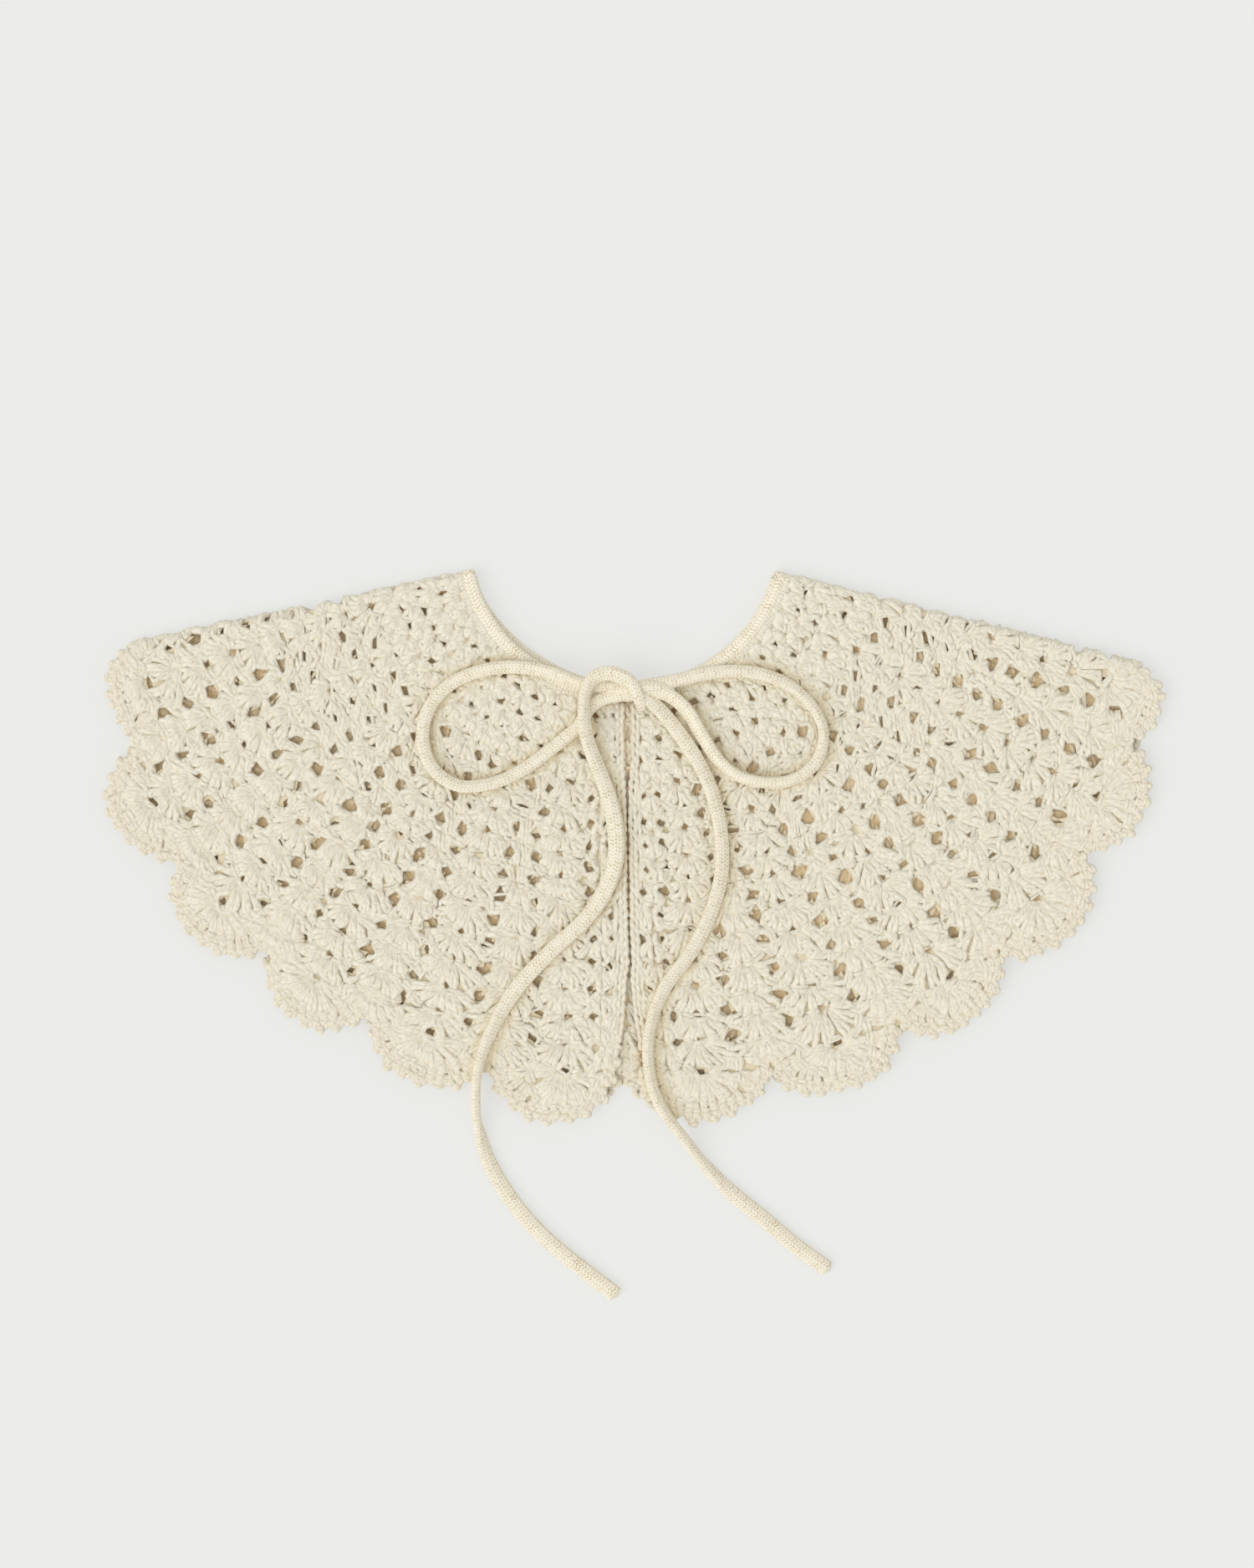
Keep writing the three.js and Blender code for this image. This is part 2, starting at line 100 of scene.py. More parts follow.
TAIL_RIGHT = [
    (6.5, -78.5, 12.4), (12.5, -83.4, 11.4), (19.4, -90.5, 10.4), (29.3, -103.8, 10.4),
    (37.2, -117.4, 10.4), (42.2, -132.1, 10.4), (44.6, -147.3, 10.4), (44.3, -163.2, 10.4),
    (39.6, -180.1, 10.4), (30.8, -197.7, 10.4), (18.6, -214.4, 10.4), (12.3, -230.6, 10.4),
    (10.8, -246.0, 10.4), (13.3, -261.5, 10.4), (18.4, -272.0, 10.4), (23.9, -279.4, 9.9),
    (29.1, -286.1, 6.4), (34.1, -292.9, 3.6), (40.2, -300.1, 2.8), (51.5, -311.2, 2.7),
    (65.2, -322.2, 2.7), (79.4, -334.2, 2.7), (94.8, -345.2, 2.7),
]
CORD_WIDTH = 7.2
CORD_THICKNESS = 4.2
CORD_WALES = 8
BINDING_WALES = 7
STITCH_PITCH = 1.7


# Materials. The tones are painted shade: for deep places, for the painted shadow beside the cord, and for the
# dimples of the core.
SHADE_TAN = (0.72, 0.49, 0.23, 1)
CORD_SHADE = (0.99, 0.94, 0.83, 1)
DIMPLE_SHADE = (0.50, 0.32, 0.14, 1)


def socket(node, name, value):
    node.inputs[name].default_value = value


def add_node(tree, kind, **settings):
    node = tree.nodes.new(kind)
    for name, value in settings.items():
        setattr(node, name, value)
    return node


def math_node(tree, operation, first, second=None):
    node = add_node(tree, "ShaderNodeMath", operation=operation)
    for k, value in enumerate((first, second)):
        if value is None:
            continue
        if isinstance(value, (int, float)):
            node.inputs[k].default_value = value
        else:
            tree.links.new(value, node.inputs[k])
    return node.outputs[0]


def attribute(tree, name):
    return add_node(tree, "ShaderNodeAttribute", attribute_type="GEOMETRY", attribute_name=name)


def mix_colors(tree, share, first, second, blend="MIX"):
    node = add_node(tree, "ShaderNodeMix", data_type="RGBA", blend_type=blend)
    for k, value in ((0, share), (6, first), (7, second)):
        if isinstance(value, (int, float, tuple)):
            node.inputs[k].default_value = value
        else:
            tree.links.new(value, node.inputs[k])
    return node.outputs[2]


def cloth_shader(name):
    material = bpy.data.materials.new(name)
    material.use_nodes = True
    tree = material.node_tree
    shader = tree.nodes["Principled BSDF"]
    socket(shader, "Roughness", 0.95)
    socket(shader, "Specular IOR Level", 0.15)
    socket(shader, "Sheen Weight", 0.4)
    socket(shader, "Sheen Roughness", 0.5)
    socket(shader, "Sheen Tint", (1.0, 0.96, 0.88, 1))
    return material, tree, shader


def yarn_material(name, light, warm, between, deep):
    """Spun yarn: soft fibres along it and round it, with painted shade in their grooves, deep in the stitches
    and beside the cord.
    """
    material, tree, shader = cloth_shader(name)
    along = attribute(tree, "along").outputs["Fac"]
    round_xyz = attribute(tree, "round").outputs["Vector"]
    turned = add_node(tree, "ShaderNodeVectorRotate", rotation_type="Z_AXIS")
    tree.links.new(round_xyz, turned.inputs["Vector"])
    tree.links.new(math_node(tree, "MULTIPLY", along, 900.0), turned.inputs["Angle"])
    stretch = add_node(tree, "ShaderNodeCombineXYZ")
    tree.links.new(math_node(tree, "MULTIPLY", along, 170.0), stretch.inputs["Z"])
    tint = attribute(tree, "tint").outputs["Fac"]
    tree.links.new(math_node(tree, "MULTIPLY", tint, 40.0), stretch.inputs["X"])
    place = add_node(tree, "ShaderNodeVectorMath", operation="ADD")
    tree.links.new(turned.outputs["Vector"], place.inputs[0])
    tree.links.new(stretch.outputs[0], place.inputs[1])
    fibres = add_node(tree, "ShaderNodeTexNoise", noise_dimensions="3D")
    tree.links.new(place.outputs[0], fibres.inputs["Vector"])
    socket(fibres, "Scale", 2.6)
    socket(fibres, "Detail", 5.0)
    socket(fibres, "Roughness", 0.65)
    patches = add_node(tree, "ShaderNodeTexNoise", noise_dimensions="3D")
    coordinates = add_node(tree, "ShaderNodeTexCoord")
    tree.links.new(coordinates.outputs["Object"], patches.inputs["Vector"])
    socket(patches, "Scale", 45.0)
    socket(patches, "Detail", 3.0)
    warmth = math_node(tree, "MULTIPLY", patches.outputs[0], 0.7)
    tone = mix_colors(tree, warmth, light, warm)
    turned_parts = add_node(tree, "ShaderNodeSeparateXYZ")
    tree.links.new(turned.outputs["Vector"], turned_parts.inputs[0])
    across = math_node(tree, "MULTIPLY", turned_parts.outputs["X"], turned_parts.outputs["Y"])
    plies = math_node(tree, "ADD", math_node(tree, "MULTIPLY", across, 0.45), 0.5)
    relief = math_node(tree, "ADD", math_node(tree, "MULTIPLY", plies, 0.55), fibres.outputs[0])
    # Painted shade: the low places of the fibres and plies take the darker between tone.
    streaks = add_node(tree, "ShaderNodeMapRange")
    tree.links.new(relief, streaks.inputs[0])
    socket(streaks, "From Min", 0.42)
    socket(streaks, "From Max", 0.80)
    streaked = mix_colors(tree, streaks.outputs[0], between, tone)
    # Painted shade: the deep tone where the depth attribute says a place lies deep in the folded fabric.
    depth = attribute(tree, "depth").outputs["Fac"]
    color = mix_colors(tree, depth, deep, streaked)
    # Painted shadow of the cord on the fabric beside it.
    painted_cord_shadow = attribute(tree, "painted_cord_shadow").outputs["Fac"]
    color = mix_colors(tree, painted_cord_shadow, color, CORD_SHADE, "MULTIPLY")
    tree.links.new(color, shader.inputs["Base Color"])
    bump = add_node(tree, "ShaderNodeBump")
    socket(bump, "Strength", 0.8)
    socket(bump, "Distance", 0.0007)
    tree.links.new(relief, bump.inputs["Height"])
    tree.links.new(bump.outputs[0], shader.inputs["Normal"])
    return material


def knit_material(name, light, warm, groove_shade):
    """Fine stocking stitch: columns of small V's, laid out on the piece's own UV map, in stitches, with
    painted shade in the grooves.
    """
    material, tree, shader = cloth_shader(name)
    uv = add_node(tree, "ShaderNodeUVMap", uv_map="stitches")
    parts = add_node(tree, "ShaderNodeSeparateXYZ")
    tree.links.new(uv.outputs[0], parts.inputs[0])
    column = math_node(tree, "FRACT", parts.outputs["X"])
    slope = math_node(tree, "ABSOLUTE", math_node(tree, "SUBTRACT", column, 0.5))
    row = math_node(tree, "ADD", parts.outputs["Y"], math_node(tree, "MULTIPLY", slope, 1.5))
    across_wale = math_node(tree, "MULTIPLY", column, 2 * math.pi)
    legs = math_node(tree, "ABSOLUTE", math_node(tree, "SINE", across_wale))
    wave = math_node(tree, "SINE", math_node(tree, "MULTIPLY", row, 2 * math.pi))
    loops = math_node(tree, "ADD", math_node(tree, "MULTIPLY", wave, 0.5), 0.5)
    knit = math_node(tree, "MULTIPLY", math_node(tree, "POWER", legs, 0.7), loops)
    coordinates = add_node(tree, "ShaderNodeTexCoord")
    fuzz = add_node(tree, "ShaderNodeTexNoise", noise_dimensions="3D")
    tree.links.new(coordinates.outputs["Object"], fuzz.inputs["Vector"])
    socket(fuzz, "Scale", 1600.0)
    socket(fuzz, "Detail", 3.0)
    height = math_node(tree, "ADD", knit, math_node(tree, "MULTIPLY", fuzz.outputs[0], 0.4))
    patches = add_node(tree, "ShaderNodeTexNoise", noise_dimensions="3D")
    tree.links.new(coordinates.outputs["Object"], patches.inputs["Vector"])
    socket(patches, "Scale", 60.0)
    tone = mix_colors(tree, math_node(tree, "MULTIPLY", patches.outputs[0], 0.8), light, warm)
    reach = add_node(tree, "ShaderNodeMapRange")
    tree.links.new(height, reach.inputs[0])
    socket(reach, "From Min", 0.2)
    socket(reach, "From Max", 0.85)
    cell = add_node(tree, "ShaderNodeCombineXYZ")
    tree.links.new(math_node(tree, "FLOOR", parts.outputs["X"]), cell.inputs["X"])
    tree.links.new(math_node(tree, "FLOOR", row), cell.inputs["Y"])
    chance = add_node(tree, "ShaderNodeTexWhiteNoise", noise_dimensions="3D")
    tree.links.new(cell.outputs[0], chance.inputs["Vector"])
    specks = math_node(tree, "MULTIPLY", math_node(tree, "POWER", chance.outputs["Value"], 2.0), 0.4)
    strong = math_node(tree, "ADD", specks, 0.42)
    # Painted shade: the groove tone in the low places between the loops, stronger in some stitches at random.
    between = math_node(tree, "SUBTRACT", 1.0, reach.outputs[0])
    color = mix_colors(tree, math_node(tree, "MULTIPLY", between, strong), tone, groove_shade)
    tree.links.new(color, shader.inputs["Base Color"])
    bump = add_node(tree, "ShaderNodeBump")
    socket(bump, "Strength", 0.7)
    socket(bump, "Distance", 0.0002)
    tree.links.new(height, bump.inputs["Height"])
    tree.links.new(bump.outputs[0], shader.inputs["Normal"])
    return material


def inner_material(name, light, dark):
    """The inside of the fabric, in tan tones of painted shade for the warm light that passes through the
    yarn, darker in its low lumps.
    """
    material, tree, shader = cloth_shader(name)
    coordinates = add_node(tree, "ShaderNodeTexCoord")
    lumps = add_node(tree, "ShaderNodeTexNoise", noise_dimensions="3D")
    tree.links.new(coordinates.outputs["Object"], lumps.inputs["Vector"])
    socket(lumps, "Scale", 420.0)
    socket(lumps, "Detail", 4.0)
    socket(lumps, "Roughness", 0.7)
    reach = add_node(tree, "ShaderNodeMapRange")
    tree.links.new(lumps.outputs[0], reach.inputs[0])
    socket(reach, "From Min", 0.35)
    socket(reach, "From Max", 0.65)
    lit = mix_colors(tree, reach.outputs[0], dark, light)
    # Painted shade: a brown tone in the dimples at the feet of the shells.
    dimple = attribute(tree, "dimple").outputs["Fac"]
    tree.links.new(mix_colors(tree, dimple, lit, DIMPLE_SHADE), shader.inputs["Base Color"])
    bump = add_node(tree, "ShaderNodeBump")
    socket(bump, "Strength", 0.9)
    socket(bump, "Distance", 0.0015)
    tree.links.new(lumps.outputs[0], bump.inputs["Height"])
    tree.links.new(bump.outputs[0], shader.inputs["Normal"])
    return material


# The third and fourth tones of each yarn are painted shade: in the grooves of the fibres and deep in the
# stitches.
ivory = yarn_material(
    "ivory_yarn", (0.955, 0.915, 0.785, 1), (0.94, 0.88, 0.715, 1), (0.78, 0.66, 0.42, 1), SHADE_TAN,
)
ivory_back = yarn_material(
    "ivory_yarn_back", (0.955, 0.915, 0.785, 1), (0.94, 0.88, 0.715, 1), (0.78, 0.66, 0.42, 1),
    (0.94, 0.77, 0.51, 1),
)
edging = yarn_material(
    "warm_yarn", (0.955, 0.905, 0.765, 1), (0.945, 0.87, 0.69, 1), (0.80, 0.67, 0.43, 1), SHADE_TAN,
)
# Painted shade on the inside of the fabric: the back's tone under the front is darker than where it shows.
front_inside = inner_material("inside_front", (0.93, 0.85, 0.66, 1), (0.82, 0.70, 0.46, 1))
back_inside = inner_material("inside_back", (0.94, 0.76, 0.48, 1), (0.78, 0.59, 0.33, 1))
back_shown = inner_material("inside_shown", (0.94, 0.86, 0.68, 1), (0.84, 0.73, 0.52, 1))
# The knit's last tone is painted shade in its grooves.
knit = knit_material(
    "fine_knit", (0.985, 0.95, 0.815, 1), (0.97, 0.915, 0.755, 1), (0.56, 0.42, 0.21, 1),
)


def object_from(name, mesh):
    piece = bpy.data.objects.new(name, mesh)
    scene.collection.objects.link(piece)
    return piece


# Flattened knitted cord along a route: closed ends, raised wales, and a UV map counted in stitches
def smooth_route(route, step):
    """Points a step apart along a smooth curve through the route, as positions in millimetres."""
    given = [Vector((x + CENTER_X, y + CENTER_Y, z)) for x, y, z in route]
    ends = [2 * given[0] - given[1]] + given + [2 * given[-1] - given[-2]]
    dense = []
    for k in range(1, len(ends) - 2):
        p = ends[k - 1:k + 3]
        t = [0.0]
        for j in range(3):
            t.append(t[-1] + (p[j + 1] - p[j]).length ** 0.5)
        for i in range(24):
            u = lerp(t[1], t[2], i / 24)
            a = [lerp(p[j], p[j + 1], (u - t[j]) / (t[j + 1] - t[j])) for j in range(3)]
            b = [lerp(a[j], a[j + 1], (u - t[j]) / (t[j + 2] - t[j])) for j in range(2)]
            dense.append((lerp(b[0], b[1], (u - t[1]) / (t[2] - t[1])), k - 1 + i / 24))
    dense.append((given[-1], len(given) - 1.0))
    length = sum((dense[k + 1][0] - dense[k][0]).length for k in range(len(dense) - 1))
    count = max(2, round(length / step))
    points = [dense[0]]
    walked = 0.0
    target = length / count
    for k in range(len(dense) - 1):
        here, there = dense[k], dense[k + 1]
        piece_length = (there[0] - here[0]).length
        while target <= walked + piece_length + 1e-6 and len(points) < count:
            share = (target - walked) / piece_length
            points.append((lerp(here[0], there[0], share), lerp(here[1], there[1], share)))
            target += length / count
        walked += piece_length
    points.append(dense[-1])
    return points, length


def along_table(table, index):
    """A value read from (route index, value) pairs."""
    for (a, low), (b, high) in zip(table, table[1:]):
        if index <= b:
            share = clamp((index - a) / (b - a))
            return lerp(low, high, share * share * (3 - 2 * share))
    return table[-1][1]


def knitted_tube(route, rolls=((0, 0.0),), widths=((0, 1.0),), sides=32, step=1.3):
    """Vertices, faces and UVs of a flattened tube. rolls turn its width about the route, in degrees."""
    points, length = smooth_route(route, step)
    vertices = []
    rings = []
    count = len(points)
    for k, (point, index) in enumerate(points):
        ahead = (points[min(k + 1, count - 1)][0] - points[max(k - 1, 0)][0]).normalized()
        side = ahead.cross(Vector((0, 0, 1))).normalized()
        top = side.cross(ahead)
        roll = math.radians(along_table(rolls, index))
        across = side * math.cos(roll) + top * math.sin(roll)
        over = top * math.cos(roll) - side * math.sin(roll)
        from_end = min(k, count - 1 - k) * step
        closing = math.sqrt(clamp(1 - (1 - min(from_end / 2.2, 1.0)) ** 2, 0.03))
        width = CORD_WIDTH / 2 * along_table(widths, index) * closing
        thick = CORD_THICKNESS / 2 * closing
        ring = []
        for j in range(sides):
            turn = 2 * math.pi * (j + 0.5) / sides
            ridge = 1 + 0.045 * math.cos(turn * CORD_WALES)
            x = math.copysign(abs(math.cos(turn)) ** 0.85, math.cos(turn)) * width * ridge
            y = math.copysign(abs(math.sin(turn)) ** 0.85, math.sin(turn)) * thick * ridge
            ring.append(len(vertices))
            vertices.append(point + across * x + over * y)
        rings.append(ring)
    faces = []
    uvs = []
    for k in range(count - 1):
        for j in range(sides):
            n = (j + 1) % sides
            faces.append((rings[k][j], rings[k + 1][j], rings[k + 1][n], rings[k][n]))
            u0 = CORD_WALES * (j + 0.5) / sides
            u1 = CORD_WALES * (j + 1.5) / sides
            v0 = k * step / STITCH_PITCH
            v1 = (k + 1) * step / STITCH_PITCH
            uvs.append(((u0, v0), (u0, v1), (u1, v1), (u1, v0)))
    for ring, turned in ((rings[0], False), (rings[-1], True)):
        faces.append(tuple(reversed(ring)) if turned else tuple(ring))
        uvs.append(((0.0, 0.0),) * sides)
    return vertices, faces, uvs, [point for point, index in points], length


def tube_piece(name, tubes):
    vertices = []
    faces = []
    uvs = []
    for tube in tubes:
        start = len(vertices)
        vertices += [(v.x * MM, v.y * MM, max(v.z, 0.05) * MM) for v in tube[0]]
        faces += [tuple(k + start for k in face) for face in tube[1]]
        uvs += tube[2]
    mesh = bpy.data.meshes.new(name)
    mesh.from_pydata(vertices, [], faces)
    layer = mesh.uv_layers.new(name="stitches")
    loop = 0
    for face_uvs in uvs:
        for uv in face_uvs:
            layer.data[loop].uv = uv
            loop += 1
    mesh.polygons.foreach_set("use_smooth", [True] * len(mesh.polygons))
    mesh.materials.append(knit)
    return object_from(name, mesh)


cords = {}
CORD_SHAPES = {
    "bow_loop_left": (
        LOOP_LEFT,
        ((0, 0), (2, 35), (4, 20), (8, 20), (11, 30), (13, 20), (16, 10), (18, 0)),
        ((0, 0.8), (2, 0.84), (18, 0.84)),
    ),
    "bow_loop_right": (
        LOOP_RIGHT,
        (
            (0, 0), (3, 20), (5, 30), (7, 60), (8, 62), (9, 35), (10, 50), (12, 52), (14, 48), (16, 40),
            (17, 30),
        ),
        ((0, 0.8), (2, 0.84), (12, 0.84), (14, 1.0), (16, 1.0), (17, 0.84)),
    ),
    "tie_tail_left": (
        TAIL_LEFT,
        (
            (0, 10), (1, 22), (2, 30), (3, 40), (4, 66), (5, 62), (6, 42), (8, 27), (10, 0), (12, 0),
            (13, 20), (15, 18), (16, 52), (17, 78), (19, 86), (20, 52), (21, 25), (22, 12), (25, 10),
        ),
        ((0, 0.8), (1, 1.0), (8, 1.0), (10, 1.04), (12, 1.04), (13, 1.0), (25, 1.0)),
    ),
    "tie_tail_right": (
        TAIL_RIGHT,
        (
            (0, 30), (1, 34), (3, 22), (4, 36), (8, 36), (10, 42), (11, 62), (14, 66), (15, 72), (17, 72),
            (18, 50), (19, 20), (22, 18),
        ),
        ((0, 0.9), (1, 1.0), (22, 1.0)),
    ),
}
for name, (route, rolls, widths) in CORD_SHAPES.items():
    tube = knitted_tube(route, rolls, widths)
    cords[name] = (tube_piece(name + "_cord", [tube]), tube[3], tube[4])

# The knot: a wrap over the middle and the bunched roots of the loops beside it
WRAP_OVER = [
    (0.5, -71.6, 11.0), (1.8, -73.0, 13.8), (3.8, -76.0, 15.2), (6.0, -80.4, 14.8), (7.4, -84.4, 12.8),
    (8.0, -87.0, 9.8),
]
ROOT_LEFT = [(-9.5, -78.6, 10.4), (-5.0, -78.0, 11.4), (1.0, -77.4, 12.4), (6.0, -77.2, 12.2)]
ROOT_RIGHT = [(4.0, -77.0, 12.6), (10.0, -76.4, 13.0), (17.0, -76.9, 12.0), (23.0, -79.2, 10.6)]
ROOT_UNDER = [(-1.0, -81.4, 11.0), (3.0, -80.4, 11.8), (8.0, -80.6, 12.0), (12.0, -82.8, 11.2)]
knot_piece = tube_piece("bow_knot_wraps", [
    knitted_tube(WRAP_OVER, ((0, 0), (5, 0)), ((0, 0.7), (2, 0.86), (5, 0.66))),
    knitted_tube(ROOT_LEFT, ((0, 0), (3, 0)), ((0, 0.7), (3, 0.8))),
    knitted_tube(ROOT_RIGHT, ((0, 0), (3, 30)), ((0, 0.8), (3, 0.7))),
    knitted_tube(ROOT_UNDER, ((0, 0), (3, 0)), ((0, 0.7), (3, 0.8))),
])

# The same tables as in the part's source
FRONT_NECK = [(-80, 71.4), (-62, 74.0), (-46, 75.4), (-20, 75.8), (20, 75.4), (50, 74.0), (80, 71.4)]
BACK_NECK = [
    (-80, 71.4), (-62, 73.6), (-46, 73.2), (-30, 73.0), (-17, 73.6), (4, 75.0), (50, 74.0), (80, 71.4),
]
LEFT_FOLD = {"neck_angle": -72.6, "hem_angle": -76.4, "hem_radius": 238.0, "side": -1}
RIGHT_FOLD = {"neck_angle": 72.0, "hem_angle": 74.9, "hem_radius": 248.0, "side": 1}
LEFT_START = (-75.5, 238.0)
LEFT_SCALLOPS = [
    (-65.3, 251, 244), (-52.7, 274, 253.5), (-39.7, 276.5, 251.5), (-27.2, 275.5, 251), (-13.9, 276.5, 256),
    (-0.4, 279.5, 243.5),
]
RIGHT_START = (0.9, 252.0)
RIGHT_SCALLOPS = [
    (15.1, 279, 259), (28.5, 282, 262), (41.0, 280.5, 262), (54.2, 280.5, 257), (66.3, 275.5, 248.5),
    (74.0, 262, 248),
]
BACK_SCALLOPS = [
    (-65.6, 249, 246), (-53.0, 270, 250), (-40.2, 272, 252), (-27.4, 272, 252), (-13.8, 272, 253),
    (-0.2, 272, 253.5), (14.0, 274, 256), (27.6, 275, 258), (41.0, 275, 260), (54.2, 274, 259.5),
    (66.4, 270, 252), (74.0, 257, 248),
]
OPENING = [
    (60, -0.2, 2.8), (108, 0.2, 2.8), (128, 0.8, 1.6), (184, 1.6, 2.4), (203, 2.3, 3.1), (212, 1.3, 2.8),
    (230, 0.0, 4.6), (239, -1.1, 6.0), (300, -3.0, 6.6),
]
OPENING_MIDDLE = [(down, (left + right) / 2) for down, left, right in OPENING]
BAND_TOP = 83.6
LEFT_BAND_END = 236.5
RIGHT_BAND_END = 243.5

# Pairs of eyelets beside the ladders between the shells: left and right angle near the neck, and near the hem
LADDERS = [
    (-67.2, -63.7, -67.6, -62.2), (-56.0, -52.2, -56.0, -50.0), (-44.5, -40.4, -43.4, -37.6),
    (-31.9, -28.4, -31.0, -25.0), (-19.6, -15.6, -17.1, -10.2), (14.9, 19.2, 12.0, 18.2),
    (27.5, 31.9, 25.7, 31.7), (40.6, 44.5, 38.6, 44.7), (52.1, 56.1, 50.9, 55.9), (64.9, 68.8, 62.9, 69.0),
]
FOLD_LADDERS = [(-78.4, -74.8, -80.2, -74.4), (77.2, 80.8, 74.9, 80.7)]
LADDER_INNER = 149.4
LADDER_OUTER = 222.0

# Columns of shells: angles at the five radii, and the radius where the last big shell of each begins
COLUMN_RADII = (132.8, 175.2, 188.7, 227.2, 253.0)
SHELL_COLUMNS = [
    ((-71.2, -71.2, -71.2, -71.2, -71.2), 231.0), ((-59.8, -59.9, -59.8, -59.2, -59.2), 252.2),
    ((-48.3, -48.0, -47.3, -46.9, -46.7), 254.1), ((-36.5, -35.8, -35.5, -34.6, -34.0), 253.0),
    ((-24.5, -23.2, -22.3, -20.9, -20.6), 252.2), ((-11.7, -9.6, -8.3, -6.8, -6.2), 254.9),
    ((11.8, 9.6, 9.3, 8.6, 8.1), 254.9), ((24.5, 22.8, 22.5, 22.2, 22.0), 258.0),
    ((37.0, 36.7, 36.3, 35.3, 35.2), 258.0), ((48.8, 48.4, 48.3, 47.9, 47.6), 257.2),
    ((61.0, 60.1, 60.0, 59.7, 59.9), 250.3), ((73.0, 72.5, 72.0, 71.7, 71.6), 233.7),
]
SHELL_ROWS = (121.3, 133.2, 143.6, 154.8, 165.6, 175.9, 189.0, 202.5, 215.2, 228.3, 240.2)
BETWEEN_ROWS = (173.3, 182.9, 196.4, 209.8, 222.1, 233.3, 245.0)
EYELET_ROWS = (127.4, 139.0, 149.4, 160.2, 170.6, 181.0, 192.5, 204.4, 216.4, 229.5, 241.8)
NECK_ROWS = (80.4, 90.6, 100.9, 111.2, 121.3)
NECK_PITCH = 9.4
BACK_COLUMNS = (-71.2, -59.6, -47.0, -34.0, -20.5, -7.0, 7.0, 20.5, 34.0, 47.0, 59.6, 71.2)
LAST_ROW = 252.0
LAST_ROW_AT_FOLD = 231.0


def back_last_row(angle):
    """The radius of the last row of shells on the back layer, less beside the folds."""
    return LAST_ROW_AT_FOLD if abs(angle) > 70 else LAST_ROW


def polar(angle, radius):
    a = math.radians(angle)
    return CENTER_X + radius * math.sin(a), CENTER_Y - radius * math.cos(a)


def angle_of(x, y):
    return math.degrees(math.atan2(x - CENTER_X, CENTER_Y - y))


def table_at(table, key):
    """A value read from (key, value) pairs by straight lines."""
    for (a, low), (b, high) in zip(table, table[1:]):
        if key <= b:
            return lerp(low, high, clamp((key - a) / (b - a)))
    return table[-1][1]


def hem_radius(start, scallops, angle):
    from_angle, from_radius = start
    for to_angle, tip, notch in scallops:
        if angle <= to_angle:
            middle = (from_angle + to_angle) / 2
            half = (to_angle - from_angle) / 2
            turn = math.acos(clamp((middle - angle) / half, -1.0, 1.0))
            foot = lerp(from_radius, notch, (1 - math.cos(turn)) / 2)
            return foot + (tip - foot) * math.sin(turn)
        from_angle, from_radius = to_angle, notch
    return from_radius


def corner_cut(angle, radius):
    """How far the hem's corner at a fold is rounded off, at an angle."""
    point = Vector(polar(angle, radius))
    aside = min((point - neck).dot(inwards) for neck, along, inwards in FOLDS) - 0.5
    short = max(0.0, CORNER - abs(aside))
    return CORNER - math.sqrt(CORNER ** 2 - short ** 2)


def front_hem_radius(angle):
    if angle < 0.25:
        radius = hem_radius(LEFT_START, LEFT_SCALLOPS, angle)
    else:
        radius = hem_radius(RIGHT_START, RIGHT_SCALLOPS, angle)
    return radius - corner_cut(angle, radius)


def back_hem_radius(angle):
    radius = hem_radius(LEFT_START, BACK_SCALLOPS, angle)
    return radius - corner_cut(angle, radius)


# The folds
def fold_line(fold):
    """A point on the outer side of the fold, the direction along it and the direction into the collar."""
    neck = Vector(polar(fold["neck_angle"], NECK_RADIUS))
    along = (Vector(polar(fold["hem_angle"], fold["hem_radius"])) - neck).normalized()
    inwards = Vector((along.y, -along.x)) * fold["side"]
    return neck, along, inwards


FOLDS = [fold_line(LEFT_FOLD), fold_line(RIGHT_FOLD)]


# Unevenness of hand-made fabric: a wide drift and a fine one, across the layer and up.
# Without a seed, noise_vector gives other values in each run.
WIDE_PITCH, WIDE_ACROSS, WIDE_UP = 13, 1.3, 0.3
FINE_PITCH, FINE_ACROSS, FINE_UP = 4.6, 0.35, 0.2
noise.seed_set(RANDOM_SEED)


def uneven(x, y, height, layer):
    """A point of a layer, moved a little as hand-made fabric is, less beside the neck and the opening."""
    down = CENTER_Y - y
    from_neck = math.hypot(x - CENTER_X, down) - NECK_RADIUS - BINDING_WIDTH
    from_opening = abs(x - CENTER_X - table_at(OPENING_MIDDLE, down)) - BAND_WIDTH
    free = clamp(from_neck / 14) * clamp((from_opening if layer else 20.0) / 12, 0.25)
    wide = noise.noise_vector(Vector((x / WIDE_PITCH, y / WIDE_PITCH, 9.0 * layer)))
    fine = noise.noise_vector(Vector((x / FINE_PITCH, y / FINE_PITCH, 40.0 + 9.0 * layer)))
    return (
        x + (wide.x * WIDE_ACROSS + fine.x * FINE_ACROSS) * free,
        y + (wide.y * WIDE_ACROSS + fine.y * FINE_ACROSS) * free,
        height + (wide.z * WIDE_UP + fine.z * FINE_UP) * clamp(free, 0.3),
    )


